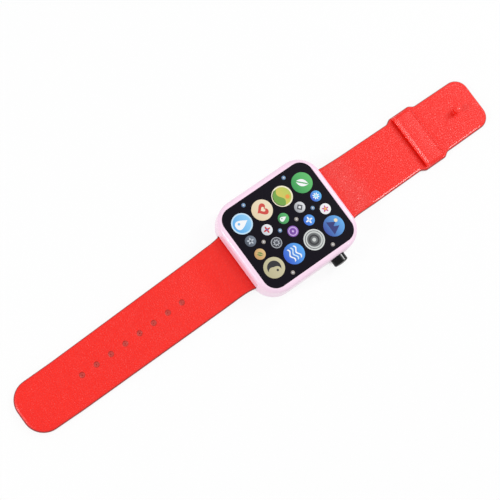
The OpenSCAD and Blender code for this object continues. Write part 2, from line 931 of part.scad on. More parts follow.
// Upper (1) or lower (-1) line of the two bends that bring the strap down to the table
function bend_line(face) = [
    for (bend = [0, 1], i = [bend : bend_steps])
        let (
            angle = bend_angle * (bend == 0 ? i : bend_steps - i) / bend_steps,
            r = drop_r + (bend == 0 ? 1 : -1) * face * strap_t / 2
        )
        bend == 0
            ? [lead_x + r * sin(angle), bar_z - drop_r + r * cos(angle)]
            : [flat_x - r * sin(angle), strap_t / 2 + drop_r - r * cos(angle)]
];

// Strap seen from the side: from the bar, down to the table, and flat to its tip
module strap_side(reach) {
    low_line = bend_line(-1);
    polygon(concat(
        [[bar_x, bar_z + strap_t / 2]], bend_line(1), [[reach, strap_t], [reach, 0]],
        [for (i = [len(low_line) - 1 : -1 : 0]) low_line[i]], [[bar_x, bar_z - strap_t / 2]]
    ));
}

// Half width of the tapered strap at a distance from the case centre
function half_wid(x, reach, taper) =
    strap_wid / 2 - taper / 2 * (x - flare_x) / (reach - flare_x);

// How far the middle of the strap leans at a distance from the case centre
function mid_y(x, lean) =
    lean * max(0, min(1, (x - lean_x) / (lean_end - lean_x)));

// Places along one edge of the strap where its direction changes
function edge_xs(lean, round_x) =
    lean == 0 ? [flare_x, round_x] : [flare_x, lean_x, lean_end, round_x];

// Strap seen from above: flared at the case, tapered, with round tip corners
module strap_plan(reach, tip_r, taper, lean) {
    round_x = reach - tip_r;
    round_y = half_wid(round_x, reach, taper) - tip_r;
    tip_y = mid_y(round_x, lean);
    along = edge_xs(lean, round_x);
    back = [for (i = [len(along) - 1 : -1 : 0]) along[i]];
    difference() {
        union() {
            translate([bar_x - cut, -lug_wid / 2])
                square([flare_x - bar_x + cut, lug_wid]);
            polygon([
                for (side = [-1, 1], x = side < 0 ? along : back)
                    [x, mid_y(x, lean) + side * half_wid(x, reach, taper)]
            ]);
            translate([round_x - cut, tip_y - round_y])
                square([tip_r + cut, 2 * round_y]);
            for (side = [-1, 1])
                translate([round_x, tip_y + side * round_y])
                    circle(tip_r);
        }
        for (side = [-1, 1])
            translate([flare_x, side * (strap_wid / 2 + flare_r)])
                circle(flare_r, $fn = bend_fn);
    }
}

// One half of the strap, without its holes or keeper
module strap_half(reach, tip_r, taper, lean) {
    round_bar(knuckle_r, lug_wid);
    intersection() {
        rotate([90, 0, 0])
            linear_extrude(2 * lug_wid, center = true)
                strap_side(reach);
        linear_extrude(bar_z + knuckle_r + cut)
            strap_plan(reach, tip_r, taper, lean);
    }
}

// Round bar along the spring bar axis
module round_bar(r, length) {
    translate([bar_x, 0, bar_z])
        rotate([90, 0, 0])
            cylinder(r = r, h = length, center = true);
}

// Bore for the spring bar
module bar_bore_cut() {
    round_bar(knuckle_bore, lug_wid + 2 * cut);
}

// Strap half with the row of holes
module strap_long() {
    color("tomato")
        rotate([0, 0, 180])
            difference() {
                strap_half(long_reach, long_tip_r, long_taper, long_lean);
                bar_bore_cut();
                for (i = [0 : hole_count - 1]) {
                    hole_x = hole_first + i * hole_pitch;
                    translate([hole_x, mid_y(hole_x, long_lean), -cut])
                        cylinder(d = hole_d, h = bar_z + knuckle_r + cut);
                }
            }
}

// Widening of the strap on both sides of the keeper, seen from above
module keeper_plan() {
    ramp_in = half_wid(keeper_x - keeper_ramp, short_reach, short_taper);
    ramp_out = half_wid(keeper_end + keeper_ramp, short_reach, short_taper);
    rise_in = keeper_out - ramp_in;
    rise_out = keeper_out - ramp_out;
    r_in = (keeper_ramp * keeper_ramp + rise_in * rise_in) / (2 * rise_in);
    r_out = (keeper_ramp * keeper_ramp + rise_out * rise_out) / (2 * rise_out);
    difference() {
        translate([keeper_x - keeper_ramp, -keeper_out])
            square([keeper_len + 2 * keeper_ramp, 2 * keeper_out]);
        for (side = [-1, 1]) {
            translate([keeper_x - keeper_ramp, side * (ramp_in + r_in)])
                circle(r_in);
            translate([keeper_end + keeper_ramp, side * (ramp_out + r_out)])
                circle(r_out);
        }
    }
}

// Keeper seen along the strap: a low bridge with round shoulders
module keeper_section() {
    difference() {
        union() {
            translate([-keeper_out, 0])
                square([2 * keeper_out, keeper_top - keeper_round]);
            translate([keeper_round - keeper_out, 0])
                square([2 * (keeper_out - keeper_round), keeper_top]);
            for (side = [-1, 1])
                translate([side * (keeper_out - keeper_round), keeper_top - keeper_round])
                    circle(keeper_round);
        }
        translate([-keeper_in, keeper_floor])
            square([2 * keeper_in, keeper_gap_h]);
    }
}

// Moulded stud with a domed head
module stud() {
    head_r = stud_head_d / 2;
    dome_r = (head_r * head_r + stud_head_t * stud_head_t) / (2 * stud_head_t);
    head_z = strap_t + stud_len;
    cylinder(d = stud_d, h = head_z + stud_head_t / 2);
    intersection() {
        translate([0, 0, head_z + stud_head_t - dome_r])
            sphere(dome_r);
        translate([0, 0, head_z])
            cylinder(r = 2 * head_r, h = stud_head_t);
    }
}

// Strap half with the keeper and the stud
module strap_short() {
    color("tomato")
        difference() {
            union() {
                difference() {
                    union() {
                        strap_half(short_reach, short_tip_r, short_taper, 0);
                        linear_extrude(strap_t)
                            keeper_plan();
                    }
                    translate([keeper_x, -keeper_in, keeper_floor])
                        cube([keeper_len, 2 * keeper_in, cut + keeper_sunk]);
                }
                translate([keeper_x, 0, 0])
                    rotate([90, 0, 90])
                        linear_extrude(keeper_len)
                            keeper_section();
                translate([keeper_x + keeper_bead_r, 0, keeper_top - keeper_bead_r / 2])
                    rotate([90, 0, 0])
                        cylinder(r = keeper_bead_r, h = 2 * (keeper_out - keeper_round), center = true);
                translate([stud_x, 0, 0])
                    stud();
            }
            bar_bore_cut();
        }
}

// Spring bars

// Tube of a spring bar
module bar_tube(end) {
    color("silver")
        translate([end * bar_x, 0, bar_z])
            rotate([90, 0, 0])
                difference() {
                    cylinder(d = bar_d, h = 2 * bar_half, center = true);
                    cylinder(d = bar_bore, h = 2 * bar_half + cut, center = true);
                }
}

// Sprung tip of a spring bar: shank, collar and pivot
module bar_tip(end, side) {
    color("gainsboro")
        translate([end * bar_x, 0, bar_z])
            rotate([-90 * side, 0, 0]) {
                translate([0, 0, shank_in])
                    cylinder(r = bar_bore / 2 - shank_fit, h = collar_in - shank_in);
                translate([0, 0, collar_in])
                    cylinder(r = knuckle_bore - collar_fit, h = collar_t);
                translate([0, 0, collar_in + collar_t])
                    cylinder(d = pivot_d, h = pivot_end - collar_in - collar_t);
            }
}

// Spring inside a bar tube, between the two tips
module bar_spring(end) {
    mean_r = bar_bore / 2 - shank_fit - bar_wire_d / 2;
    room = 2 * (shank_in - bar_wire_d / 2 - shank_fit);
    color("silver")
        translate([end * bar_x, 0, bar_z])
            rotate([90, 0, 0])
                translate([0, 0, -room / 2])
                    coil(mean_r, bar_wire_d, room, bar_spring_turns);
}

module bar_tube_long() { bar_tube(-1); }
module bar_tube_short() { bar_tube(1); }
module bar_spring_long() { bar_spring(-1); }
module bar_spring_short() { bar_spring(1); }
module bar_tip_long_left() { bar_tip(-1, 1); }
module bar_tip_long_right() { bar_tip(-1, -1); }
module bar_tip_short_left() { bar_tip(1, 1); }
module bar_tip_short_right() { bar_tip(1, -1); }

case_shell();
back_cover();
back_screws();
face_film();
face_window();
window_tape();
movement_frame();
circuit_board();
board_screws();
led_display();
chip_blob();
crystal_can();
board_resistors();
button_switch();
switch_plunger();
crown_button();
crown_spring();
crown_clip();
coin_cell();
contact_positive();
contact_negative();
strap_long();
strap_short();
bar_tube_long();
bar_tube_short();
bar_spring_long();
bar_spring_short();
bar_tip_long_left();
bar_tip_long_right();
bar_tip_short_left();
bar_tip_short_right();
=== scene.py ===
"""Looks of a toy wrist watch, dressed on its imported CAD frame.

Sizes are in millimetres and every mesh goes into the scene in metres, in the part's own frame:
X runs along the strap towards the half with the keeper, -Y is the crown side and Z is up.
"""

import logging
from dataclasses import dataclass
from enum import Enum
from typing import Any

import bmesh
import bpy
import numpy as np
from mathutils import Matrix, Vector


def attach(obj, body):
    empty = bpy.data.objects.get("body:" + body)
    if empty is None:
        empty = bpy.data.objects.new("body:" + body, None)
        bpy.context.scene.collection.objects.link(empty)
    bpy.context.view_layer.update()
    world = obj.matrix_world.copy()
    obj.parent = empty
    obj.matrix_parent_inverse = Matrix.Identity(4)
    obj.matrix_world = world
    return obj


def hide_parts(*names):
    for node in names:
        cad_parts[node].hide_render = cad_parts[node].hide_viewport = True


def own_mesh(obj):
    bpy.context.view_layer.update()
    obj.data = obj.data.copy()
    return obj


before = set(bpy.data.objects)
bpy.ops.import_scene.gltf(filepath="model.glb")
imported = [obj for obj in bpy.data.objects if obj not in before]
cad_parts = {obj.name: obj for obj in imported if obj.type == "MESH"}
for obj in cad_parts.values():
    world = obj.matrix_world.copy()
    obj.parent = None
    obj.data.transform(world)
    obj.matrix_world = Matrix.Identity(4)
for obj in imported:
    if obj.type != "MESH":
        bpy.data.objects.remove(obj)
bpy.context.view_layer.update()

log = logging.getLogger("toy_watch")

Array = np.ndarray
Colour = tuple[float, float, float]
Plate = tuple[Array, Array, Colour, bool]
MM = 0.001
TURN = 2 * np.pi


def linear(colour: Colour) -> tuple[float, float, float, float]:
    """Turn a display colour into the linear colour that a shader takes.

    Args:
        colour: red, green and blue from 0 to 255.

    Returns:
        Linear red, green, blue and a full alpha.
    """
    c = np.array(colour, float) / 255
    low, high = c / 12.92, ((c + 0.055) / 1.055) ** 2.4
    return (*np.where(c <= 0.04045, low, high).tolist(), 1.0)


def smooth(t: Array) -> Array:
    """Ease from 0 to 1 along t with flat ends: 3 t squared less 2 t cubed."""
    t = np.clip(t, 0, 1)
    return t * t * (3 - 2 * t)


def quarter(count: int) -> Array:
    """Angles of a quarter turn in even steps."""
    return np.linspace(0, np.pi / 2, count)


def capped(grid: Array) -> Array:
    """Close a tube with a point in the middle of each end ring.

    Args:
        grid: rings by points by 3.

    Returns:
        The grid with a ring of equal points added before and after it.
    """
    middle = grid.mean(1, keepdims=True)
    return np.concatenate([middle[:1] + 0 * grid[:1], grid, middle[-1:] + 0 * grid[-1:]])


# Surfaces


@dataclass
class Shell:
    """Points and four-sided faces of a surface, and the ink or the marks of each point.

    Marks are how much painted shade, how smooth and how much painted hole shade a point takes, from 0 to 1,
    in the first three values of an ink.
    """

    points: Array
    faces: Array
    inks: Array | None = None

    @classmethod
    def grid(
        cls, points: Array, wrap_rows: bool = False, wrap_cols: bool = False, keep: Array | None = None
    ) -> "Shell":
        """Make a surface from a grid of points.

        Args:
            points: rows by columns by 3.
            wrap_rows: join the last row to the first.
            wrap_cols: join the last column to the first.
            keep: rows by columns of flags, False where a face is left out.

        Returns:
            The surface, one face between each four neighbours.
        """
        rows, cols = points.shape[:2]
        index = np.arange(rows * cols).reshape(rows, cols)
        index = np.concatenate([index, index[:1]], 0) if wrap_rows else index
        index = np.concatenate([index, index[:, :1]], 1) if wrap_cols else index
        faces = np.stack([index[:-1, :-1], index[1:, :-1], index[1:, 1:], index[:-1, 1:]], -1)
        faces = faces[keep] if keep is not None else faces.reshape(-1, 4)
        return cls(points.reshape(-1, 3), faces)

    @classmethod
    def join(cls, shells: list["Shell"], grain: float = 1e-4) -> "Shell":
        """Put surfaces together, merge the points that they share and drop those that no face uses.

        Args:
            shells: surfaces to join.
            grain: points that round to the same step are one point.

        Returns:
            One surface.
        """
        starts = np.cumsum([0] + [len(s.points) for s in shells[:-1]])
        points = np.concatenate([s.points for s in shells])
        faces = np.concatenate([s.faces + start for s, start in zip(shells, starts)])
        _, first, where = np.unique(np.round(points / grain), axis=0, return_index=True, return_inverse=True)
        used, corners = np.unique(where.reshape(-1)[faces], return_inverse=True)
        inks = None if shells[0].inks is None else np.concatenate([s.inks for s in shells])[first][used]
        return cls(points[first][used], corners.reshape(-1, 4), inks)

    def marked(self, dark: Array | float, polish: Array | float, cut: Array | float = 0.0) -> "Shell":
        """Give each point its marks.

        Args:
            dark: how much painted shade each point takes.
            polish: how smooth each point is.
            cut: how much of the painted shade of a shadowed hole each point takes.

        Returns:
            This surface.
        """
        count = len(self.points)
        marks = [np.broadcast_to(np.ravel(value), count) for value in (dark, polish, cut, 1.0)]
        self.inks = np.stack(marks, -1)
        return self

    def polygons(self) -> list[list[int]]:
        """List the faces, with a face that has two equal corners as a triangle.

        Returns:
            Corner numbers of each face that has an area.
        """
        same = self.faces == np.roll(self.faces, -1, 1)
        quads = self.faces[~same.any(1)]
        once = same.sum(1) == 1
        corner = np.argmax(same[once], 1)[:, None]
        threes = np.take_along_axis(self.faces[once], (corner + np.arange(1, 4)) % 4, 1)
        return [*quads.tolist(), *threes.tolist()]

    def put(
        self, name: str, material: bpy.types.Material, body: str, slot: str, flat: bool = False
    ) -> bpy.types.Object:
        """Put the surface into the scene as one piece.

        Args:
            name: name of the piece.
            material: its finish.
            body: CAD body that it moves with.
            slot: not used.
            flat: shade each face flat.

        Returns:
            The new object, at the origin.
        """
        mesh = bpy.data.meshes.new(name)
        mesh.from_pydata((self.points * MM).tolist(), [], self.polygons())
        shape = bmesh.new()
        shape.from_mesh(mesh)
        bmesh.ops.recalc_face_normals(shape, faces=shape.faces)
        shape.to_mesh(mesh)
        shape.free()
        mesh.polygons.foreach_set("use_smooth", np.full(len(mesh.polygons), not flat))
        if self.inks is not None:
            mesh.attributes.new("ink", "FLOAT_COLOR", "POINT").data.foreach_set("color", self.inks.ravel())
        mesh.materials.append(material)
        piece = bpy.data.objects.new(name, mesh)
        bpy.context.scene.collection.objects.link(piece)
        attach(piece, body)
        log.info("%s: %d faces on %s", name, len(mesh.polygons), body)
        return piece


def revolve(profile: Array) -> Array:
    """Carry a profile of radius and height round the Z axis.

    Args:
        profile: points of radius and height.

    Returns:
        Grid of 48 turns by the profile: radius times cosine, radius times sine, height.
    """
    turn = np.linspace(0, TURN, 48, endpoint=False)[:, None]
    radius, height = profile[None, :, 0], profile[None, :, 1]
    return np.stack([radius * np.cos(turn), radius * np.sin(turn), height + 0 * turn], -1)


# Shader graphs


class Sock:
    """Output of a node. Arithmetic on it adds Math nodes."""

    def __init__(self, graph: "Graph", link: bpy.types.NodeSocket) -> None:
        """Keep the graph and the socket."""
        self.graph = graph
        self.link = link

    def _math(self, operation: str, first: "Sock | float", second: "Sock | float") -> "Sock":
        """Add a Math node for two values."""
        return self.graph.node("ShaderNodeMath", {"operation": operation}, {0: first, 1: second})

    def __add__(self, other: "Sock | float") -> "Sock":
        """Sum."""
        return self._math("ADD", self, other)

    __radd__ = __add__

    def __sub__(self, other: "Sock | float") -> "Sock":
        """Difference."""
        return self._math("SUBTRACT", self, other)

    def __rsub__(self, other: float) -> "Sock":
        """Difference from a number."""
        return self._math("SUBTRACT", other, self)

    def __mul__(self, other: "Sock | float") -> "Sock":
        """Product."""
        return self._math("MULTIPLY", self, other)

    __rmul__ = __mul__

    def __or__(self, other: "Sock | float") -> "Sock":
        """Larger of two values."""
        return self._math("MAXIMUM", self, other)

    __ror__ = __or__


class Graph:
    """Node tree of a material or the world."""

    def __init__(self, owner: bpy.types.Material | bpy.types.World) -> None:
        """Empty the owner's node tree.

        Args:
            owner: material or world.
        """
        owner.use_nodes = True
        self.tree = owner.node_tree
        self.tree.nodes.clear()

    @staticmethod
    def _pick(sockets: Any, key: str | int) -> bpy.types.NodeSocket:
        """Find a socket.

        Args:
            sockets: inputs or outputs of a node.
            key: number, identifier or name.

        Returns:
            The socket.
        """
        if isinstance(key, int):
            return sockets[key]
        return next((s for s in sockets if s.identifier == key), None) or sockets[key]

    def node(
        self, kind: str, settings: dict[str, Any], inputs: dict[str | int, Any], output: str | int = 0
    ) -> Sock:
        """Add one node.

        Args:
            kind: type of the node.
            settings: its properties; stops are a ramp's places and colours.
            inputs: values or links of its sockets.
            output: number or name of the output that is wanted.

        Returns:
            That output.
        """
        made = self.tree.nodes.new(kind)
        for name, value in settings.items():
            if name == "stops":
                for i, (place, shade) in enumerate(value):
                    stop = made.color_ramp.elements[i] if i < 2 else made.color_ramp.elements.new(place)
                    stop.position, stop.color = place, shade
            else:
                setattr(made, name, value)
        for key, value in inputs.items():
            if isinstance(value, Sock):
                self.tree.links.new(value.link, self._pick(made.inputs, key))
            else:
                self._pick(made.inputs, key).default_value = value
        return Sock(self, self._pick(made.outputs, output)) if made.outputs else Sock(self, None)

    def ray(self, what: str) -> Sock:
        """One output of Light Path."""
        return self.node("ShaderNodeLightPath", {}, {}, what)

    def place(self) -> Sock:
        """Object coordinates, in metres."""
        return self.node("ShaderNodeTexCoord", {}, {}, "Object")

    def noise(self, place: Sock, size: float, detail: float = 2.0) -> Sock:
        """Noise whose features are about as large as size, in millimetres."""
        inputs = {"Vector": place, "Scale": 1 / (size * MM), "Detail": detail}
        return self.node("ShaderNodeTexNoise", {"noise_dimensions": "3D"}, inputs, "Fac")

    def mix(self, share: Sock | float, first: Any, second: Any) -> Sock:
        """Mix two colours by a share."""
        inputs = {"Factor_Float": share, "A_Color": first, "B_Color": second}
        return self.node("ShaderNodeMix", {"data_type": "RGBA"}, inputs, "Result_Color")

    def bump(self, height: Sock, depth: float, strength: float) -> Sock:
        """Bump of a height between 0 and 1 that is depth millimetres deep."""
        inputs = {"Height": height, "Distance": depth * MM, "Strength": strength}
        return self.node("ShaderNodeBump", {}, inputs, "Normal")

    def surface(self, **inputs: Any) -> None:
        """Finish a material with a Principled shader.

        Args:
            inputs: its sockets, named with underscores for spaces.
        """
        named = {key.replace("_", " "): value for key, value in inputs.items()}
        shader = self.node("ShaderNodeBsdfPrincipled", {}, named)
        self.node("ShaderNodeOutputMaterial", {}, {"Surface": shader})


# Finishes


@dataclass(frozen=True)
class Finish:
    """Shared part of a finish: its name, its main colour and the CAD nodes that have it."""

    name: str
    colour: Colour
    nodes: tuple[str, ...] = ()

    def start(self) -> tuple[bpy.types.Material, Graph]:
        """Make an empty material of this name and its graph."""
        material = bpy.data.materials.new(self.name)
        return material, Graph(material)

    def make(self) -> bpy.types.Material:
        """Build the material, in each kind of finish."""
        raise NotImplementedError

    def dress(self) -> bpy.types.Material:
        """Make the material and give it to the CAD nodes, which keep their own mesh.

        Returns:
            The material.
        """
        material = self.make()
        for node in self.nodes:
            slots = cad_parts[node].data.materials
            slots.clear()
            slots.append(material)
            log.info("%s: %s", node, self.name)
        return material


@dataclass(frozen=True)
class StrapGrain(Finish):
    """Soft vinyl pressed with a fine leather grain: pebbles parted by creases, and painted shade in the
    creases, on the turned edges and in the holes.
    """

    # Painted shade in the creases between pebbles, and the dark end of the slow random change of tone.
    crease_shade_and_mottle: Colour = (236, 16, 4)
    # Painted shade: dark red for the faces of the edge that turn down towards the wall.
    edge: Colour = (146, 16, 11)
    # Painted shade: the dim, greyish red of a hole in shadow, for the dish and the neck of each hole.
    cut: Colour = (206, 64, 55)
    pebble: float = 0.72
    depth: float = 0.08
    roughness: float = 0.3
    edge_roughness: float = 0.14
    sway: float = 0.9
    sway_scale: float = 420.0
    fine_size: float = 0.35
    slow_size: float = 14.0

    def make(self) -> bpy.types.Material:
        """Build the material.

        Returns:
            Material with pebbles from warped cells, painted shade in their creases, a slow change of tone
            along the strap, and painted shade on the edges and in the holes from the marks of the mesh.
        """
        material, g = self.start()
        place = g.place()
        marks = g.node("ShaderNodeAttribute", {"attribute_name": "ink"}, {}, "Color")
        names = ("Red", "Green", "Blue")
        dark, polish, cut = (g.node("ShaderNodeSeparateColor", {}, {"Color": marks}, name) for name in names)
        grained = 1 - polish
        noise = {"Vector": place, "Scale": self.sway_scale, "Detail": 2.0}
        sway = g.node("ShaderNodeTexNoise", {}, noise, "Color")
        shift = g.node("ShaderNodeVectorMath", {"operation": "SCALE"}, {0: sway, "Scale": self.sway * MM})
        warped = g.node("ShaderNodeVectorMath", {"operation": "ADD"}, {0: place, 1: shift})
        cells = {"Vector": warped, "Scale": 1 / (self.pebble * MM)}
        edge = g.node("ShaderNodeTexVoronoi", {"feature": "DISTANCE_TO_EDGE"}, cells, "Distance")
        stops = [(0.0, (0, 0, 0, 1)), (0.28, (1, 1, 1, 1))]
        pebble = g.node("ShaderNodeValToRGB", {"stops": stops}, {"Fac": edge}, "Color")
        fine = g.noise(place, self.fine_size, 3)
        slow = g.noise(place, self.slow_size)
        height = (pebble * 0.75 + fine * 0.5) * grained
        # Painted shade: the creases between pebbles take the darker colour; the slow noise also mottles the
        # tone.
        shade = g.mix(pebble * 0.65 + slow * 0.35 | polish, linear(self.crease_shade_and_mottle), linear(self.colour))
        rough = self.roughness + 0.16 * (1 - pebble) + 0.1 * (slow - 0.5)
        g.surface(
            # Painted shade: the edge colour where the mesh is marked dark, and the dim hole colour where it
            # is marked as a hole.
            Base_Color=g.mix(cut, g.mix(dark, shade, linear(self.edge)), linear(self.cut)),
            Roughness=rough * grained + self.edge_roughness * polish,
            Specular_IOR_Level=0.42,
            Coat_Weight=0.3 * polish,
            Coat_Roughness=0.1,
            Normal=g.bump(height, self.depth, 0.8),
        )
        return material


@dataclass(frozen=True)
class Moulded(Finish):
    """Moulded plastic: a faint eroded texture, a slow change of shade and uneven gloss."""

    roughness: float = 0.3
    texture: float = 0.5
    depth: float = 0.004
    specular: float = 0.5
    coat: float = 0.0
    uneven: float = 0.05

    def make(self) -> bpy.types.Material:
        """Build the material.

        Returns:
            Material whose texture size, depth and gloss come from the fields.
        """
        material, g = self.start()
        place = g.place()
        slow = g.noise(place, 9)
        fine = g.noise(place, self.texture, 3)
        full = np.array(linear(self.colour))
        worn = full * (0.93, 0.93, 0.93, 1)
        g.surface(
            Base_Color=g.mix(slow, worn.tolist(), full.tolist()),
            Roughness=self.roughness + self.uneven * (fine - 0.5) + self.uneven * (slow - 0.5),
            Specular_IOR_Level=self.specular,
            Coat_Weight=self.coat,
            Coat_Roughness=0.06,
            Normal=g.bump(fine, self.depth, 0.6),
        )
        return material


@dataclass(frozen=True)
class Metal(Finish):
    """Drawn or plated metal: fine lines along one axis over a bright ground."""

    roughness: float = 0.28
    lines: tuple[float, float, float] = (1.0, 1.0, 12.0)

    def make(self) -> bpy.types.Material:
        """Build the material.

        Returns:
            Material with noise stretched along the axis of least scale.
        """
        material, g = self.start()
        place = g.place()
        drawn = g.node("ShaderNodeMapping", {}, {"Vector": place, "Scale": self.lines})
        line = g.noise(drawn, 0.9, 4)
        full = np.array(linear(self.colour))
        g.surface(
            Base_Color=g.mix(line, (full * (0.8, 0.8, 0.8, 1)).tolist(), full.tolist()),
            Metallic=1.0,
            Roughness=self.roughness + 0.16 * (line - 0.5),
            Normal=g.bump(line, 0.003, 0.5),
        )
        return material


@dataclass(frozen=True)
class Laminate(Finish):
    """Circuit board: green solder mask, with square copper tracks showing paler through it."""

    track: Colour = (86, 168, 96)

    def make(self) -> bpy.types.Material:
        """Build the material.

        Returns:
            Material whose tracks are the edges of square cells.
        """
        material, g = self.start()
        place = g.place()
        square = {"distance": "CHEBYCHEV", "feature": "F1"}
        cell = g.node("ShaderNodeTexVoronoi", square, {"Vector": place, "Scale": 420.0}, "Distance")
        stops = [(0.5, (0, 0, 0, 1)), (0.56, (1, 1, 1, 1))]
        track = g.node("ShaderNodeValToRGB", {"stops": stops}, {"Fac": cell}, "Color")
        g.surface(
            Base_Color=g.mix(track, linear(self.colour), linear(self.track)),
            Roughness=0.34 + 0.1 * g.noise(place, 0.4),
            Normal=g.bump(track, 0.02, 0.5),
        )
        return material


@dataclass(frozen=True)
class Print(Finish):
    """Printed inks under clear varnish: each point's own ink, with a faint dot grain."""

    roughness: float = 0.3

    def make(self) -> bpy.types.Material:
        """Build the material.

        Returns:
            Material that reads the ink of the mesh.
        """
        material, g = self.start()
        ink = g.node("ShaderNodeAttribute", {"attribute_name": "ink"}, {}, "Color")
        dots = g.noise(g.place(), 0.12, 1)
        g.surface(
            Base_Color=g.mix(0.12 * dots, ink, linear(self.colour)),
            Roughness=self.roughness + 0.08 * (dots - 0.5),
            Specular_IOR_Level=0.25,
        )
        return material


# Strap


class Half(Enum):
    """The two halves of the strap, by the end of the case that they hang on."""

    LONG = -1
    SHORT = 1


@dataclass
class StrapHalf:
    """One soft half of the strap: a loop round its spring bar, bends down to the table, and a flat run.

    The run is worked out flat, as distance from the case centre, place across and height from the mid
    line, and then laid along the mid line.
    """

    half: Half
    reach: float
    tip_r: float
    taper: float
    lean: float = 0.0
    lean_x: float = 28.0
    lean_end: float = 92.4
    hole_first: float = 0.0
    hole_pitch: float = 6.0
    hole_count: int = 0
    hole_r: float = 1.0
    hole_low_r: float = 0.14
    hole_dish: float = 0.6
    hole_rim: float = 0.15
    hole_lip: float = 0.2
    hole_strip: float = 3.0
    has_keeper: bool = False
    case_end: float = 21.0
    bar_x: float = 18.2
    bar_z: float = 2.8
    loop_r: float = 1.9
    loop_bore: float = 0.85
    loop_round: float = 0.35
    lug_wid: float = 22.0
    flare_step: float = 0.5
    flare_len: float = 5.0
    thick: float = 2.0
    drop_r: float = 24.0
    drop_lead: float = 0.6
    wave: float = 0.03
    edge_in: float = 0.88
    edge_round: float = 0.12
    bevel: float = 0.36
    bevel_tilt: float = 0.42
    edge_polish: float = 1.0
    polish_over: float = 0.25
    dark_from: float = 0.45
    dark_over: float = 0.4
    keeper_to_tip: float = 23.1
    keeper_len: float = 8.0
    keeper_ramp: float = 2.6
    keeper_in: float = 9.95
    keeper_out: float = 11.35
    keeper_roof: float = 3.7
    keeper_top: float = 4.5
    keeper_sunk: float = 0.1
    keeper_sag: float = 1.3
    keeper_droop: float = 0.6
    bead_polish: float = 0.8
    stud_to_tip: float = 9.4
    stud_r: float = 0.9
    stud_flare: float = 0.55
    stud_head_r: float = 1.35
    stud_brim: float = 4.28
    stud_dome: float = 0.62
    side_cols: int = 9
    block: int = 8

    @property
    def keeper_end(self) -> float:
        """Far edge of the keeper."""
        return self.reach - self.keeper_to_tip

    @property
    def keeper_x(self) -> float:
        """Near edge of the keeper."""
        return self.keeper_end - self.keeper_len

    def under_keeper(self, x: Array) -> Array:
        """Ease in and out along the keeper, over a ramp at each end.

        Args:
            x: distances from the case centre.

        Returns:
            0 on the strap and 1 along the keeper.
        """
        rise = (x - self.keeper_x + self.keeper_ramp) / self.keeper_ramp
        fall = (self.keeper_end + self.keeper_ramp - x) / self.keeper_ramp
        return smooth(rise) * smooth(fall)

    def half_width(self, x: Array) -> Array:
        """Half width of the strap.

        Args:
            x: distances from the case centre.

        Returns:
            An arc in from the case slot, then a straight taper, widened by the keeper.
        """
        flare_x = self.case_end + self.flare_len
        flare_r = (self.flare_len**2 + self.flare_step**2) / (2 * self.flare_step)
        after = self.lug_wid / 2 - self.flare_step
        ahead = np.clip(flare_x - x, 0, self.flare_len)
        flare = after + flare_r - np.sqrt(flare_r**2 - ahead**2)
        width = flare - self.taper / 2 * np.clip((x - flare_x) / (self.reach - flare_x), 0, 1)
        if self.has_keeper:
            width = width + (self.keeper_out - width) * self.under_keeper(x)
        return width

    def lay(self, flat: Array) -> Array:
        """Lay flat points along the mid line.

        The mid line is level at the bar, then two arcs of one radius, one falling away and one levelling
        out on the table, and it leans to one side along the flat run. A point moves from it along the
        normal by its height.

        Args:
            flat: points of distance, place across and height.

        Returns:
            Points in the frame of the part.
        """
        x, y, h = np.moveaxis(flat, -1, 0)
        lead = self.case_end + self.drop_lead
        drop = self.bar_z - self.thick / 2
        angle = np.arccos(1 - drop / (2 * self.drop_r))
        run = self.drop_r * np.sin(angle)
        fall = np.clip(x - lead, 0, run)
        level = np.clip(lead + 2 * run - x, 0, run)
        first = self.bar_z - self.drop_r + np.sqrt(self.drop_r**2 - fall**2)
        second = self.thick / 2 + self.drop_r - np.sqrt(self.drop_r**2 - level**2)
        falling = x < lead + run
        z = np.where(falling, first, second)
        slope = np.arcsin(np.where(falling, fall, level) / self.drop_r)
        y = y + np.interp(x, [self.lean_x, self.lean_end], [0, self.lean])
        side = self.half.value
        return np.stack([side * (x + h * np.sin(slope)), side * y, z + h * np.cos(slope)], -1)

    def stations(self) -> Array:
        """Distances of the rows, from inside the loop to where the tip begins.

        Returns:
            Rows about 0.8 apart, in steps of an eighth of a pitch along the holes.
        """
        inside_loop, before_tip = 1.3, 2.0
        start, end = self.bar_x + inside_loop, self.reach - self.tip_r - before_tip
        if not self.hole_count:
            marks = [start, self.keeper_x - self.keeper_ramp, self.keeper_end + self.keeper_ramp, end]
            steps = [46, 46, 8]
        else:
            low = self.hole_first - self.hole_pitch / 2
            marks = [start, low, low + self.hole_count * self.hole_pitch, end]
            steps = [28, self.block * self.hole_count, 14]
        runs = [np.linspace(a, b, n, endpoint=False) for a, b, n in zip(marks, marks[1:], steps)]
        return np.concatenate([[start - 0.1], *runs, [end]])

    def outline(self) -> tuple[Array, Array, Array, Array, int]:
        """Outline of the strap and its outward normals.

        Returns:
            Points and normals along one side to the middle of the tip corner, points and normals across
            the tip between the middles of its corners, and how many rows come before the tip.
        """
        x = self.stations()
        corner_x = self.reach - self.tip_r
        straight = np.linspace(x[-1], corner_x, 4)[1:]
        rows = np.concatenate([x, straight])
        width = self.half_width(rows)
        slope = np.gradient(width, rows)
        side = np.stack([rows, width], -1)
        normal = np.stack([-slope, np.ones_like(slope)], -1) / np.hypot(slope, 1)[:, None]
        corner_y = width[-1] - self.tip_r
        eighth = np.pi / 4
        turn = np.linspace(2 * eighth, eighth, 9)[1:]
        ray = np.stack([np.cos(turn), np.sin(turn)], -1)
        side = np.concatenate([side, [corner_x, corner_y] + self.tip_r * ray])
        normal = np.concatenate([normal, ray])
        arc = self.tip_r * eighth
        along = np.linspace(0, 2 * (arc + corner_y), 2 * self.side_cols + self.block + 1)
        back = along[-1] - along
        angle = np.where(along < back, 1, -1) * np.clip(arc - np.minimum(along, back), 0, arc) / self.tip_r
        ray = np.stack([np.cos(angle), np.sin(angle)], -1)
        middle = np.clip(corner_y - (along - arc), -corner_y, corner_y)
        end = np.stack([corner_x + 0 * middle, middle], -1) + self.tip_r * ray
        return side, normal, end, ray, len(x)

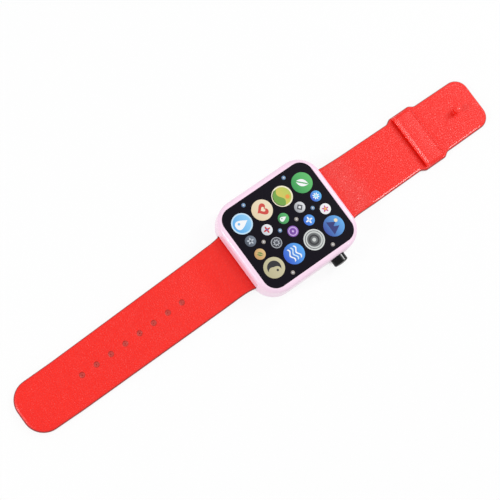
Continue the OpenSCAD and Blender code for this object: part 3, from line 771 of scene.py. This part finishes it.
    def edge_section(self) -> tuple[Array, Array, Array]:
        """Section of the edge: small round, narrow bevel, large round, short wall, and the same below.

        Returns:
            Steps outwards, heights from the mid line, and how far each point of the upper half has turned.
        """
        small, tilt = self.edge_round, self.bevel_tilt
        first, last = np.linspace(0, tilt, 4), np.linspace(tilt, np.pi / 2, 8)
        start = small * np.array([np.sin(tilt), np.cos(tilt) - 1]) + self.bevel * np.array([1, -np.tan(tilt)])
        large = (self.edge_in - start[0]) / (1 - np.sin(tilt))
        step = np.concatenate([small * np.sin(first), start[0] + large * (np.sin(last) - np.sin(tilt))])
        fall = np.concatenate([small * (np.cos(first) - 1), start[1] + large * (np.cos(last) - np.cos(tilt))])
        rise = self.thick / 2 + fall
        turned = np.concatenate([first, last])
        return (
            np.concatenate([step, step[::-1]]),
            np.concatenate([rise, -rise[::-1]]),
            np.concatenate([turned, 0 * turned + np.pi / 2]),
        )

    def band(self) -> list[Shell]:
        """Closed run of the strap with its rounded edge.

        Rows run straight across, and the tip is a patch between its four edges: the sum of the mixes of both
        pairs of edges less the mix of the corners. The edge is a section carried along the outline. The upper
        face waves a little: sine of the distance times cosine of the place across.

        Returns:
            Upper and lower faces, the edge, and the wall of each hole.
        """
        side, normal, end, end_normal, body = self.outline()
        inset, end_in = side - self.edge_in * normal, end - self.edge_in * end_normal
        mirror = np.array([1, -1])
        core = np.linspace(self.hole_strip, -self.hole_strip, self.block + 1)
        share = np.linspace(0, 1, self.side_cols + 1)[:-1]
        left = inset[:body, 1:] * (1 - share) + self.hole_strip * share
        across = np.concatenate([left, core + 0 * left[:, :1], -left[:, ::-1]], 1)
        lines = np.stack([inset[:body, :1] + 0 * across, across], -1)
        tip = inset[body - 1 :]
        u = np.linspace(0, 1, len(tip))[:, None, None]
        v = np.linspace(0, 1, across.shape[1])[None, :, None]
        pair = (1 - v) * tip[:, None] + v * (tip * mirror)[:, None]
        other = (1 - u) * lines[-1][None] + u * end_in[None]
        near = (1 - v) * tip[0] + v * tip[0] * mirror
        far = (1 - v) * tip[-1] + v * tip[-1] * mirror
        plan = np.concatenate([lines, (pair + other - (1 - u) * near - u * far)[1:]])
        full = np.ones(len(plan))
        full[0] = 0
        half = self.thick / 2 * full[:, None] + 0 * plan[..., 0]
        x, y = plan[..., 0], plan[..., 1]
        hollow = self.keeper_sunk * self.under_keeper(x) if self.has_keeper else 0
        run, cross, bend = 3.1, 8.0, 4.0
        wave = self.wave * np.sin(x / run + np.sin(y / bend)) * np.cos(y / cross)
        upper = np.concatenate([plan, (half - hollow + wave * full[:, None])[..., None]], -1)
        lower = np.concatenate([plan, -half[..., None]], -1)
        upper[:, [0, -1], 2] = half[:, [0, -1]]
        upper[-1, :, 2] = half[-1]
        keep = np.ones((len(plan) - 1, plan.shape[1] - 1), bool)
        walls = []
        first = int(np.argmin(np.abs(side[:body, 0] - self.hole_first + self.hole_pitch / 2)))
        for i in range(self.hole_count):
            row = first + i * self.block
            keep[row : row + self.block, self.side_cols : self.side_cols + self.block] = False
            walls.append(self.hole(upper, lower, row, self.hole_first + i * self.hole_pitch))
        ring = np.concatenate([inset, end_in[1:-1], (inset * mirror)[::-1]])
        out = np.concatenate([normal, end_normal[1:-1], (normal * mirror)[::-1]])
        rim = np.concatenate([full, np.ones(len(end_in) - 2), full[::-1]])
        step, rise, turned = self.edge_section()
        edge = ring[:, None] + out[:, None] * step[None, :, None]
        edge = np.concatenate([edge, (rim[:, None] * rise[None])[..., None]], -1)
        turned = turned[None] + 0 * edge[..., 0]
        # Painted shade: the edge faces darken once they have turned past dark_from, as an edge falling into
        # shade would.
        dark = smooth((turned - self.dark_from) / self.dark_over)
        polish = self.edge_polish * smooth(turned / self.polish_over)
        shells = [
            Shell.grid(upper, keep=keep).marked(0, 0),
            Shell.grid(lower, keep=keep).marked(0, 0),
            Shell.grid(edge).marked(dark, polish),
            *walls,
        ]
        return [Shell(self.lay(s.points), s.faces, s.inks) for s in shells]

    def hole(self, upper: Array, lower: Array, row: int, x: float) -> Shell:
        """Rings from a square of the upper face, down a dished rim and a narrow neck, to the lower face.

        The dish is a quarter of a rounded square: powers of the cosine and the sine of one turn.

        Args:
            upper: grid of the upper face.
            lower: grid of the lower face.
            row: first row of the square.
            x: place of the hole.

        Returns:
            Surface that fills the square round the hole, still flat.
        """
        r, c, n = row, self.side_cols, self.block
        i = np.arange(n)
        rows = np.concatenate([r + 0 * i, r + i, r + n + 0 * i, r + n - i])
        cols = np.concatenate([c + i, c + n + 0 * i, c + n - i, c + 0 * i])
        top, bottom = upper[rows, cols], lower[rows, cols]
        centre = np.array([x, 0.0])
        ray = top[:, :2] - centre
        ray = ray / np.linalg.norm(ray, axis=1)[:, None]
        turn = quarter(9)
        few, square = turn[::2], 0.6
        neck, lip = self.hole_low_r, self.hole_lip
        rim = self.hole_r + self.hole_rim * (1 - np.sin(few))
        radius = np.concatenate([rim, neck + (self.hole_r - neck) * np.cos(turn) ** square, [neck]])
        dish = lip + (self.hole_dish - lip) * np.sin(turn) ** square
        depth = np.concatenate([self.hole_rim * (1 - np.cos(few)), dish])
        height = self.thick / 2 - np.append(depth, self.thick)
        wall = centre + ray[:, None] * radius[None, :, None]
        wall = np.concatenate([wall, height[None, :, None] + 0 * wall[..., :1]], -1)
        share = np.linspace(0, 1, 4)[:-1][None, :, None]
        down = top[:, None] * (1 - share) + wall[:, :1] * share
        up = bottom[:, None] * (1 - share[:, ::-1]) + wall[:, -1:] * share[:, ::-1]
        grid = np.concatenate([down, wall, up], 1)
        outside, deep = 0 * share.ravel(), np.ones(len(radius) - len(rim))
        # Painted shade: the hole colour eases in over the rim and fills the dish and the neck.
        cut = np.concatenate([outside, np.linspace(0, 1, len(rim)), deep, outside])
        return Shell.grid(grid, wrap_rows=True).marked(0, 0, cut[None] + 0 * grid[..., 0])

    def loop(self) -> Shell:
        """Tube round the spring bar: a rounded rectangle of wall and width, turned about the bar.

        Returns:
            Closed surface.
        """
        wall, width, r = self.loop_r - self.loop_bore, self.lug_wid, self.loop_round
        turn = np.concatenate([quarter(5) + i * np.pi / 2 for i in range(4)])
        corner = np.repeat([[1, 1], [-1, 1], [-1, -1], [1, -1]], 5, axis=0)
        radius = (self.loop_r + self.loop_bore) / 2 + corner[:, 0] * (wall / 2 - r) + r * np.cos(turn)
        place = corner[:, 1] * (width / 2 - r) + r * np.sin(turn)
        ring = revolve(np.stack([radius, place], -1))
        bar = np.array([self.half.value * self.bar_x, 0, self.bar_z])
        return Shell.grid(ring[..., [1, 2, 0]] + bar, wrap_rows=True, wrap_cols=True).marked(0, 0.4)

    def arch(self, width: float, top: float, r: float) -> tuple[Array, Array]:
        """Path across the strap: up one side, round a corner, over, and down.

        Args:
            width: half width of the path.
            top: its height.
            r: corner radius.

        Returns:
            Points across and up, and their outward normals.
        """
        foot = 0.3
        turn = quarter(9)
        low = np.linspace(foot, top - r, 5)[:-1]
        over = np.linspace(width - r, 0, 14)[1:]
        y = np.concatenate([width + 0 * low, width - r + r * np.cos(turn), over])
        z = np.concatenate([low, top - r + r * np.sin(turn), top + 0 * over])
        ny = np.concatenate([1 + 0 * low, np.cos(turn), 0 * over])
        nz = np.concatenate([0 * low, np.sin(turn), 1 + 0 * over])
        path = np.stack([np.concatenate([y, -y[-2::-1]]), np.concatenate([z, z[-2::-1]])], -1)
        normal = np.stack([np.concatenate([ny, -ny[-2::-1]]), np.concatenate([nz, nz[-2::-1]])], -1)
        return path, normal

    def keeper(self) -> Shell:
        """Bridge that holds the strap tip: a strip with a bead along its near edge, carried over an arch.

        Returns:
            Closed surface: share of the way from the outer arch to the inner one, plus the bead outwards.
            The soft bridge lies lower than a stiff one by its sag, and its far edge droops.
        """
        outer_r, inner_r, inset = 1.5, 0.8, 0.4
        outer, normal = self.arch(self.keeper_out - inset, self.keeper_top - self.keeper_sag, outer_r)
        inner, _ = self.arch(self.keeper_in, self.keeper_roof - self.keeper_sag, inner_r)
        end = self.keeper_len
        third, two_thirds = end * 0.33, end * 0.66
        # Section of the strip: place along it, share of the way in, height of the bead
        section = np.array([
            # underside
            [0.25, 1, 0], [0.7, 1, 0], [third, 1, 0], [two_thirds, 1, 0],
            [end - 0.7, 1, 0], [end - 0.25, 1, 0],
            # far edge
            [end - 0.04, 0.9, 0], [end, 0.72, 0], [end - 0.05, 0.5, 0], [end - 0.2, 0.27, 0],
            [end - 0.42, 0.1, 0], [end - 0.7, 0.02, 0], [end - 1.0, 0, 0],
            # top
            [two_thirds, 0, 0], [third, 0, 0], [2.0, 0, 0], [1.45, 0, 0],
            # bead
            [1.2, 0, 0.02], [1.08, 0, 0.1], [1.0, 0, 0.22], [0.86, 0, 0.33], [0.68, 0, 0.36],
            [0.42, 0, 0.36], [0.2, 0, 0.31], [0.06, 0, 0.2], [0, 0, 0.02],
            # near face
            [0, 0.3, 0], [0, 0.75, 0], [0.08, 0.94, 0],
        ])
        x, share, bead = (section[None, :, i, None] for i in range(3))
        rise_over, bead_end, fade = 0.8, 1.2, 0.8
        lift = smooth((outer[:, 1] - self.thick) / rise_over)[:, None, None]
        across = outer[:, None] * (1 - share) + inner[:, None] * share + normal[:, None] * bead * lift
        across[..., 1:] -= self.keeper_droop * smooth((x - end / 2) / (end / 2)) * lift
        grid = np.concatenate([self.keeper_x + x + 0 * across[..., :1], across], -1)
        grid = capped(grid)
        by_bead = np.maximum(bead > 0, 1 - smooth((x - bead_end) / fade)) * (share == 0) + 0 * grid[..., :1]
        return Shell.grid(grid, wrap_cols=True).marked(0, self.bead_polish * by_bead)

    def stud(self) -> Shell:
        """Moulded stud: a shank that flares into the strap, under a low domed head, turned about its axis.

        Returns:
            Closed surface that starts inside the strap.
        """
        turn = quarter(7)
        low, flare_top, neck_top, lip, polish = 1.5, 2.45, 3.8, 0.25, 0.7
        shank, flare, head = self.stud_r, self.stud_flare, self.stud_head_r
        foot, brim = shank + flare, self.stud_brim
        curve = np.stack([foot - flare * np.sin(turn), flare_top - flare * np.cos(turn)], -1)
        under = np.stack([head - lip + lip * np.sin(turn), brim - lip * np.cos(turn)], -1)
        dome = np.stack([head * np.cos(turn), brim + self.stud_dome * np.sin(turn)], -1)
        profile = np.concatenate([[[0, low], [foot, low]], curve, [[shank, neck_top]], under, dome])
        profile[-1, 0] = 0
        place = [self.reach - self.stud_to_tip, 0, 0]
        return Shell.grid(revolve(profile) + place, wrap_rows=True).marked(0, polish)

    def build(self, finish: bpy.types.Material) -> bpy.types.Object:
        """Build the half and let it stand for its CAD solid.

        Args:
            finish: the strap's finish.

        Returns:
            The new piece.
        """
        node = f"strap_{self.half.name.lower()}"
        shells = [Shell.join(self.band()), self.loop()]
        if self.has_keeper:
            shells += [self.keeper(), self.stud()]
        piece = Shell.join(shells).put(f"{node}_skin", finish, node, "strap_red")
        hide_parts(node)
        return piece


# Face


class Motif(Enum):
    """Simple pictures for the round badges of the face."""

    LEAF = "leaf"
    HILLS = "hills"
    HEART = "heart"
    DROP = "drop"
    RINGS = "rings"
    MOON = "moon"
    WAVES = "waves"
    PEAKS = "peaks"
    STAR = "star"
    FLOWER = "flower"
    SUN = "sun"
    GEM = "gem"
    SPOT = "spot"


@dataclass(frozen=True)
class Badge:
    """One round badge: place across and up the face, radius, motif, ground from dark to light, inks, rim."""

    across: float
    up: float
    radius: float
    motif: Motif
    dark: Colour
    light: Colour
    ink: Colour = (244, 246, 248)
    second: Colour = (244, 246, 248)
    rim: Colour | None = None


@dataclass
class FacePrint:
    """Printed badges on the face film, as thin plates of ink. Up the face is +X, and right is -Y."""

    film_top: float = 9.4
    layer: float = 0.018
    sunk: float = 0.1
    rim_share: float = 0.87
    points: int = 48

    def plate(
        self, outer: Array, inner: Array, level: int, dark: Colour, light: Colour, closed: bool = True
    ) -> Shell:
        """Thin plate of ink between two curves.

        Args:
            outer: outer curve, points across and up.
            inner: inner curve, or one point for a filled shape.
            level: number of the ink layer.
            dark: ink at the lower edge.
            light: ink at the upper edge.
            closed: the curves run right round; otherwise the plate is pinched shut at both ends.

        Returns:
            Closed plate, its ink mixed by height on the face.
        """
        inner = np.broadcast_to(inner, outer.shape)
        share = np.array([0, 0.5, 1, 1, 0.5, 0])[None, :, None]
        low = self.film_top + (level - 0.6 - self.sunk) * self.layer
        thick = (1 + self.sunk) * self.layer
        rise = np.array([1, 1, 1, 0, 0, 0])[None] * thick + 0 * outer[:, :1]
        if not closed:
            rise[[0, -1]] = thick / 2
        flat = outer[:, None] * (1 - share) + inner[:, None] * share
        grid = np.stack([flat[..., 1], -flat[..., 0], low + rise], -1)
        shell = Shell.grid(grid, wrap_rows=closed, wrap_cols=True)
        v = flat[..., 1].ravel()
        mix = ((v - v.min()) / (np.ptp(v) + 1e-9))[:, None]
        shell.inks = np.array(linear(dark)) * (1 - mix) + np.array(linear(light)) * mix
        return shell

    def circle(self, r: Array | float, turn: float = 0.0) -> Array:
        """Closed curve of radius r, a number or one value for each direction."""
        angle = np.linspace(0, TURN, self.points, endpoint=False) + turn
        return np.stack([r * np.cos(angle), r * np.sin(angle)], -1)

    def shapes(self, badge: Badge) -> list[Plate]:
        """Curves of a motif, in shares of the badge radius.

        A leaf is a lens whose width is the sine times its own size, a heart a sum of cosines, a drop a circle
        narrowed by a power of the sine of the half angle, and a moon an arc pulled towards its chord. A star,
        flower or sun is a circle with a cosine of a multiple of the angle on its radius, and a gem a circle
        over the sum of the cosine and the sine.

        Args:
            badge: the badge.

        Returns:
            Outer curve, inner curve or point, ink, and whether the curves close, for each plate.
        """
        t = np.linspace(0, TURN, self.points, endpoint=False)
        s = np.linspace(0, 1, 25)
        dot = np.zeros(2)
        ink, second = badge.ink, badge.second

        def spot(r: Array | float, shade: Colour, at: tuple[float, float] = (0.0, 0.0)) -> Plate:
            """Filled round shape about a place."""
            return self.circle(r) + at, np.array(at), shade, True

        lens = np.stack([np.cos(t) * 0.62, np.sin(t) * np.abs(np.sin(t)) * 0.34], -1)
        tilt = np.array([[0.707, 0.707], [-0.707, 0.707]])
        vein = np.stack([1.3 * s - 0.75, 0 * s], -1) @ tilt
        beside = np.array([-0.04, 0.04])
        base = 1.84 * s - 0.92
        below = np.stack([base, -np.sqrt(0.92**2 - base**2 + 1e-9)], -1)
        hill = np.stack([base, np.clip(-0.15 + 0.2 * np.sin(base * 4), below[:, 1], -below[:, 1])], -1)
        lobes = 13 * np.cos(t) - 5 * np.cos(2 * t) - 2 * np.cos(3 * t) - np.cos(4 * t)
        heart = np.stack([16 * np.sin(t) ** 3, lobes], -1)
        shine = np.array([0, 0.08])
        drop = np.stack([0.62 * np.sin(t) * np.sin(t / 2) ** 1.6, 0.66 * np.cos(t) - 0.02], -1)
        arc = np.pi * (0.25 + 1.3 * s)
        outer = 0.66 * np.stack([np.cos(arc), np.sin(arc)], -1)
        chord = outer[[0, -1]].mean(0)
        inner = outer + (chord - outer) * (0.62 * np.sin(np.pi * s))[:, None]
        crest = np.stack([1.3 * s - 0.65, 0.11 * np.sin(s * TURN * 1.5)], -1)
        tooth = np.array([[-0.68, -0.42], [-0.24, 0.34], [0.0, -0.06], [0.24, 0.46], [0.7, -0.42]])
        ridge = 1.38 * s - 0.68
        peak = np.stack([ridge, np.interp(ridge, tooth[:, 0], tooth[:, 1])], -1)
        foot = np.stack([ridge, -0.42 + 0 * s], -1)
        diamond = np.abs(np.cos(t)) + np.abs(np.sin(t))
        table = {
            Motif.LEAF: [(lens @ tilt, dot, ink, True), (vein + beside, vein - beside, second, False)],
            Motif.HILLS: [(hill, below, ink, False), spot(0.2, second, (0.3, 0.4))],
            Motif.HEART: [
                (heart * 0.036 + [0, 0.05], dot, ink, True),
                (heart * 0.015 + shine, shine, second, True),
            ],
            Motif.DROP: [(drop, np.array([0, -0.2]), ink, True), spot(0.12, second, (-0.12, -0.26))],
            Motif.RINGS: [
                (self.circle(0.8), self.circle(0.66), ink, True),
                (self.circle(0.5), self.circle(0.34), second, True),
                spot(0.18, ink),
            ],
            Motif.MOON: [(outer, inner, ink, False), spot(0.11, second, (0.36, 0.14))],
            Motif.WAVES: [
                (crest + [0, 0.08 + up], crest + [0, -0.06 + up], ink if up else second, False)
                for up in (0.34, 0.0, -0.34)
            ],
            Motif.PEAKS: [(peak, foot, ink, False), spot(0.17, second, (-0.34, 0.46))],
            Motif.STAR: [spot(0.24 + 0.44 * np.abs(np.cos(2 * t)) ** 3, ink), spot(0.14, second)],
            Motif.FLOWER: [(self.circle(0.44 + 0.2 * np.cos(5 * t), 0.3), dot, ink, True), spot(0.2, second)],
            Motif.SUN: [spot(0.5 + 0.16 * np.cos(8 * t), ink), spot(0.3, second)],
            Motif.GEM: [spot(0.62 / diamond, ink), spot(0.3 / diamond, second)],
            Motif.SPOT: [spot(0.4, ink)],
        }
        return table[badge.motif]

    def badge(self, badge: Badge) -> list[Shell]:
        """Plates of one badge: its ground, its rim and its motif on the layers above.

        Args:
            badge: the badge.

        Returns:
            The plates, in place on the face.
        """
        at = np.array([badge.across, badge.up])
        ground = self.circle(badge.radius) + at
        shells = [self.plate(ground, at, 1, badge.dark, badge.light)]
        if badge.rim:
            inside = self.circle(badge.radius * self.rim_share) + at
            shells.append(self.plate(ground, inside, 2, badge.rim, badge.rim))
        for level, (outer, inner, ink, closed) in enumerate(self.shapes(badge), 2):
            outer, inner = outer * badge.radius + at, inner * badge.radius + at
            shells.append(self.plate(outer, inner, level, ink, ink, closed))
        return shells

    def layout(self) -> list[Badge]:
        """List the badges: two columns of four large ones, two columns of five small ones, and dots.

        Returns:
            All badges of the face.
        """
        white, black, cream = (246, 247, 250), (24, 23, 28), (244, 236, 206)
        large, small, dot = 3.75, 1.95, 0.72
        wide, near = 9.3, 2.75
        rows = (13.0, 4.35, -4.35, -13.0)
        steps = (14.2, 7.1, 0.0, -7.1, -14.2)
        columns = [
            (-wide, rows, large, [
                (Motif.LEAF, (40, 150, 74), (92, 190, 104), white, (64, 168, 86)),
                (Motif.HILLS, (232, 196, 92), (176, 200, 84), (110, 160, 62), (236, 150, 60), cream),
                (Motif.HEART, (228, 208, 172), (240, 226, 196), (206, 66, 56), (240, 226, 196)),
                (Motif.DROP, (84, 168, 232), (146, 208, 248), white, (120, 190, 240), (196, 228, 250)),
            ]),
            (wide, rows, large, [
                (Motif.PEAKS, (40, 64, 156), (96, 172, 236), (30, 40, 112), (240, 224, 190)),
                (Motif.RINGS, (66, 70, 72), (128, 132, 132), (202, 206, 204), (40, 42, 44), (214, 218, 216)),
                (Motif.WAVES, (36, 84, 204), (88, 170, 244), white, (206, 230, 250)),
                (Motif.MOON, (186, 178, 140), (206, 198, 162), black, (40, 38, 36)),
            ]),
            (-near, steps, small, [
                (Motif.SUN, (38, 78, 200), (92, 186, 246), white, (150, 220, 250)),
                (Motif.GEM, (150, 152, 158), (226, 228, 232), (60, 62, 70), (226, 228, 232)),
                (Motif.DROP, (36, 128, 66), (86, 186, 108), white, (86, 186, 108)),
                (Motif.STAR, (198, 204, 214), (240, 242, 246), (196, 52, 52), (54, 92, 190)),
                (Motif.FLOWER, (66, 74, 88), (120, 130, 146), (196, 204, 214), (66, 74, 88)),
            ]),
            (near, steps, small, [
                (Motif.FLOWER, (232, 232, 236), (246, 246, 248), (206, 78, 132), (240, 190, 70)),
                (Motif.STAR, (34, 96, 206), (82, 162, 242), white, (120, 190, 248)),
                (Motif.RINGS, (112, 60, 156), (156, 104, 200), (214, 184, 236), (112, 60, 156)),
                (Motif.SUN, (38, 40, 48), (70, 74, 84), (186, 190, 198), (70, 74, 84), (176, 180, 188)),
                (Motif.LEAF, (196, 148, 92), (226, 190, 130), (96, 132, 62), (226, 190, 130)),
            ]),
        ]
        badges = [
            Badge(across, up, radius, *look)
            for across, ups, radius, looks in columns
            for up, look in zip(ups, looks)
        ]
        grey, blue = ((120, 112, 108), (176, 168, 160)), ((62, 96, 140), (128, 168, 206))
        side, middle = 14.3, 8.7
        places = [(-side, middle), (side, -middle), (0, 10.65), (0, 3.55), (0, -3.55), (0, -10.65)]
        places += [(-side, -middle), (side, middle)]
        dots = [
            Badge(across, up, dot, Motif.SPOT, *(grey if i % 2 else blue), (214, 214, 216))
            for i, (across, up) in enumerate(places)
        ]
        return badges + dots

    def build(self, finish: bpy.types.Material) -> bpy.types.Object:
        """Build the print as one piece on the case.

        Args:
            finish: the printed finish.

        Returns:
            The new piece.
        """
        shells = [shell for badge in self.layout() for shell in self.badge(badge)]
        return Shell.join(shells).put("face_badges", finish, "case", "face_print", flat=True)


# Springs


@dataclass
class CoilSpring:
    """Coil on an axis along Y, built at its rest length; the real coil shortens towards its fixed end as a
    joint moves.
    """

    name: str
    node: str
    joint: str
    axis_x: float
    axis_z: float
    start: float
    length: float
    stroke: float
    mean_r: float
    wire: float
    turns: float
    steps: int = 24

    def build(self, finish: bpy.types.Material) -> bpy.types.Object:
        """Build the coil and let it stand for its CAD solid.

        The surface is a ring of the wire's radius carried along a helix, closed by a point at each end.
        A negative length runs towards -Y.

        Args:
            finish: the spring's finish.

        Returns:
            The new piece.
        """
        way, wire_r = np.sign(self.length), self.wire / 2
        share = np.linspace(0, 1, int(self.turns * self.steps) + 1)[:, None]
        around = np.linspace(0, TURN, 8, endpoint=False)[None]
        turn = way * TURN * self.turns * share
        reach = self.mean_r + wire_r * np.cos(around)
        along = self.start + way * wire_r + (self.length - way * self.wire) * share + wire_r * np.sin(around)
        grid = np.stack([self.axis_x + reach * np.cos(turn), along, self.axis_z + reach * np.sin(turn)], -1)
        shell = Shell.join([Shell.grid(capped(grid), wrap_cols=True)])
        piece = shell.put(self.name, finish, "case", "steel")
        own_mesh(piece)
        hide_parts(self.node)
        return piece

    @classmethod
    def all(cls) -> list["CoilSpring"]:
        """List the springs: one behind the crown, and a half for each tip of the two spring bars.

        Returns:
            The five coils.
        """
        springs = [cls(
            "crown_coil", "crown_spring", "crown_push", axis_x=8.9, axis_z=4.4, start=-16.27, length=-2.81,
            stroke=0.6, mean_r=1.43, wire=0.3, turns=3.5,
        )]
        for half in Half:
            bar = half.name.lower()
            for side, way in (("left", 1), ("right", -1)):
                springs.append(cls(
                    f"bar_coil_{bar}_{side}", f"bar_spring_{bar}", f"tip_{bar}_{side}_slide",
                    axis_x=half.value * 18.2, axis_z=2.8, start=0.0, length=way * 6.45, stroke=1.4,
                    mean_r=0.4, wire=0.2, turns=4.5,
                ))
        return springs


# Studio


@dataclass(frozen=True)
class Lamp:
    """Area lamp that looks at the case: its place and size in metres, and its power in watts."""

    name: str
    spot: tuple[float, float, float]
    size: tuple[float, float]
    power: float

    def build(self) -> None:
        """Put the lamp into the scene, turned towards the origin."""
        data = bpy.data.lights.new(self.name, "AREA")
        data.shape, data.energy = "RECTANGLE", self.power
        data.size, data.size_y = self.size
        lamp = bpy.data.objects.new(self.name, data)
        turn = (-Vector(self.spot)).to_track_quat("-Z", "Y").to_matrix().to_4x4()
        lamp.matrix_world = Matrix.Translation(self.spot) @ turn
        bpy.context.scene.collection.objects.link(lamp)


@dataclass
class Studio:
    """White floor, soft lamps and the camera of the photograph."""

    aim: tuple[float, float, float] = (-13.61, 1.345, 0.0)
    back: tuple[float, float, float] = (-0.26274, -0.09947, 0.95973)
    roll: float = -0.638462519
    distance: float = 599.5
    lens: float = 124.98
    ambient: float = 0.59
    white_share: float = 0.9
    paper: Colour = (0.9, 0.9, 0.9)
    nook: float = 3.0
    nook_sky: tuple[float, float] = (0.26, 0.4)
    resting_gap: float = 0.5
    floor_side: float = 3000.0
    floor_z: float = -0.02
    lamps: tuple[Lamp, ...] = (
        Lamp("sheen", (0.325, 0.07, 0.56), (0.22, 0.22), 0.48),
        Lamp("key", (0.489, 0.019, 0.36), (0.03, 0.2), 0.85),
        Lamp("fill", (-0.50, 0.12, 0.33), (0.12, 0.14), 1.15),
        Lamp("edge", (0.27, -0.385, 0.413), (0.14, 0.05), 0.3),
    )

    def camera(self) -> None:
        """Place the camera at its distance from the aim, turned by the roll about its axis."""
        data = bpy.data.cameras.new("camera")
        data.lens, data.sensor_width = self.lens, 36.0
        data.clip_start, data.clip_end = 0.01, 20.0
        back = Vector(self.back).normalized()
        right = Vector((-np.sin(self.roll), np.cos(self.roll), 0)).cross(back).normalized()
        up = back.cross(right)
        spot = (Vector(self.aim) + back * self.distance) * MM
        turn = Matrix((right, up, back)).transposed().to_4x4()
        view = bpy.data.objects.new("camera", data)
        view.matrix_world = Matrix.Translation(spot) @ turn
        bpy.context.scene.collection.objects.link(view)
        bpy.context.scene.camera = view

    @staticmethod
    def seen(graph: Graph) -> Sock:
        """1 for rays from the camera, a mirror or glass, and 0 for the rest."""
        return graph.ray("Is Camera Ray") | graph.ray("Is Glossy Ray") | graph.ray("Is Transmission Ray")

    def world(self) -> None:
        """White where it is seen, and a softer white as light."""
        world = bpy.data.worlds.new("studio")
        bpy.context.scene.world = world
        g = Graph(world)
        strength = self.ambient + (1 - self.ambient) * self.seen(g)
        light = g.node("ShaderNodeBackground", {}, {"Color": (1, 1, 1, 1), "Strength": strength})
        g.node("ShaderNodeOutputWorld", {}, {"Surface": light})

    def floor(self) -> None:
        """Add a white floor that keeps a soft shadow and stays dark where it is closed in.

        White is the world seen through it. It is clear from below, and to the light of the faces that lie
        on it.
        """
        name = "studio_floor"
        material = bpy.data.materials.new(name)
        g = Graph(material)
        paper = g.node("ShaderNodeBsdfDiffuse", {}, {"Color": (*self.paper, 1)})
        clear = g.node("ShaderNodeBsdfTransparent", {}, {})
        sky = g.node("ShaderNodeAmbientOcclusion", {"samples": 12}, {"Distance": self.nook * MM}, "AO")
        dark, light = self.nook_sky
        open_air = g.node("ShaderNodeMapRange", {}, {"Value": sky, "From Min": dark, "From Max": light})
        share = self.white_share * self.seen(g) * open_air
        white = g.node("ShaderNodeMixShader", {}, {0: share, 1: paper, 2: clear})
        below = g.node("ShaderNodeNewGeometry", {}, {}, "Backfacing")
        gap = {0: g.ray("Ray Length"), 1: self.resting_gap * MM}
        close = g.node("ShaderNodeMath", {"operation": "LESS_THAN"}, gap)
        resting = close * g.ray("Is Diffuse Ray")
        both = g.node("ShaderNodeMixShader", {}, {0: below | resting, 1: white, 2: clear})
        g.node("ShaderNodeOutputMaterial", {}, {"Surface": both})
        side = np.array([-self.floor_side, self.floor_side]) / 2
        x, y = np.meshgrid(side, side, indexing="ij")
        shell = Shell.grid(np.stack([x, y, 0 * x + self.floor_z], -1))
        mesh = bpy.data.meshes.new(name)
        mesh.from_pydata((shell.points * MM).tolist(), [], shell.polygons())
        mesh.materials.append(material)
        floor = bpy.data.objects.new(name, mesh)
        bpy.context.scene.collection.objects.link(floor)

    def build(self) -> None:
        """Build the whole studio."""
        bpy.context.scene.view_settings.view_transform = "Standard"
        self.camera()
        self.world()
        self.floor()
        for lamp in self.lamps:
            lamp.build()


def main() -> None:
    """Build the finishes, the pieces and the studio, in that order."""
    logging.basicConfig(level=logging.INFO, format="%(name)s %(message)s")
    springs = ("crown_spring", "bar_spring_long", "bar_spring_short")
    tips = ("bar_tip_long_left", "bar_tip_long_right", "bar_tip_short_left", "bar_tip_short_right")
    steel = ("back_screws", "board_screws", "crystal_can", "crown_clip", "coin_cell")
    steel += ("bar_tube_long", "bar_tube_short", *springs, *tips)
    contacts = ("contact_positive", "contact_negative")
    finishes = [
        Moulded(
            "case_gloss", (253, 222, 242), ("case_shell",),
            roughness=0.26, texture=0.6, depth=0.003, coat=0.12,
        ),
        Moulded("cover_satin", (248, 208, 230), ("back_cover",), roughness=0.48, texture=0.25, depth=0.012),
        Moulded(
            "film_black", (20, 17, 26), ("face_film",),
            roughness=0.2, texture=2.5, depth=0.002, specular=0.05, uneven=0.03,
        ),
        Moulded("window_smoke", (42, 38, 42), ("face_window",), roughness=0.12, texture=3.0, depth=0.002),
        Moulded("tape_foil", (72, 72, 74), ("window_tape",), roughness=0.7, texture=0.2, depth=0.01),
        Moulded(
            "crown_gloss", (4, 4, 6), ("crown_button",),
            roughness=0.07, texture=0.5, depth=0.002, specular=0.15,
        ),
        Moulded("frame_matt", (232, 232, 228), ("movement_frame",), roughness=0.55, texture=0.25, depth=0.01),
        Moulded(
            "display_ivory", (228, 222, 204), ("led_display", "switch_plunger"),
            roughness=0.45, texture=0.3, depth=0.006,
        ),
        Moulded(
            "chip_resin", (18, 18, 19), ("chip_blob", "board_resistors"),
            roughness=0.32, texture=0.4, depth=0.02,
        ),
        Moulded("switch_black", (34, 34, 37), ("button_switch",), roughness=0.5, texture=0.2, depth=0.01),
        Laminate("board_mask", (22, 104, 58), ("circuit_board",)),
        Metal("steel_bright", (206, 207, 210), steel, lines=(12.0, 1.0, 12.0)),
        Metal("brass_spring", (226, 190, 112), contacts, lines=(1.0, 12.0, 12.0)),
        Print("face_inks", (128, 128, 132)),
        StrapGrain("strap_grain", (251, 32, 8), ("strap_long", "strap_short")),
    ]
    materials = {finish.name: finish.dress() for finish in finishes}
    vinyl = materials["strap_grain"]
    StrapHalf(
        Half.LONG, reach=111.0, tip_r=7.5, taper=1.9, lean=1.4, hole_first=44.4, hole_count=8, edge_polish=0.1
    ).build(vinyl)
    StrapHalf(Half.SHORT, reach=87.2, tip_r=5.0, taper=1.1, has_keeper=True).build(vinyl)
    FacePrint().build(materials["face_inks"])
    for spring in CoilSpring.all():
        spring.build(materials["steel_bright"])
    Studio().build()


if __name__ == "__main__":
    main()
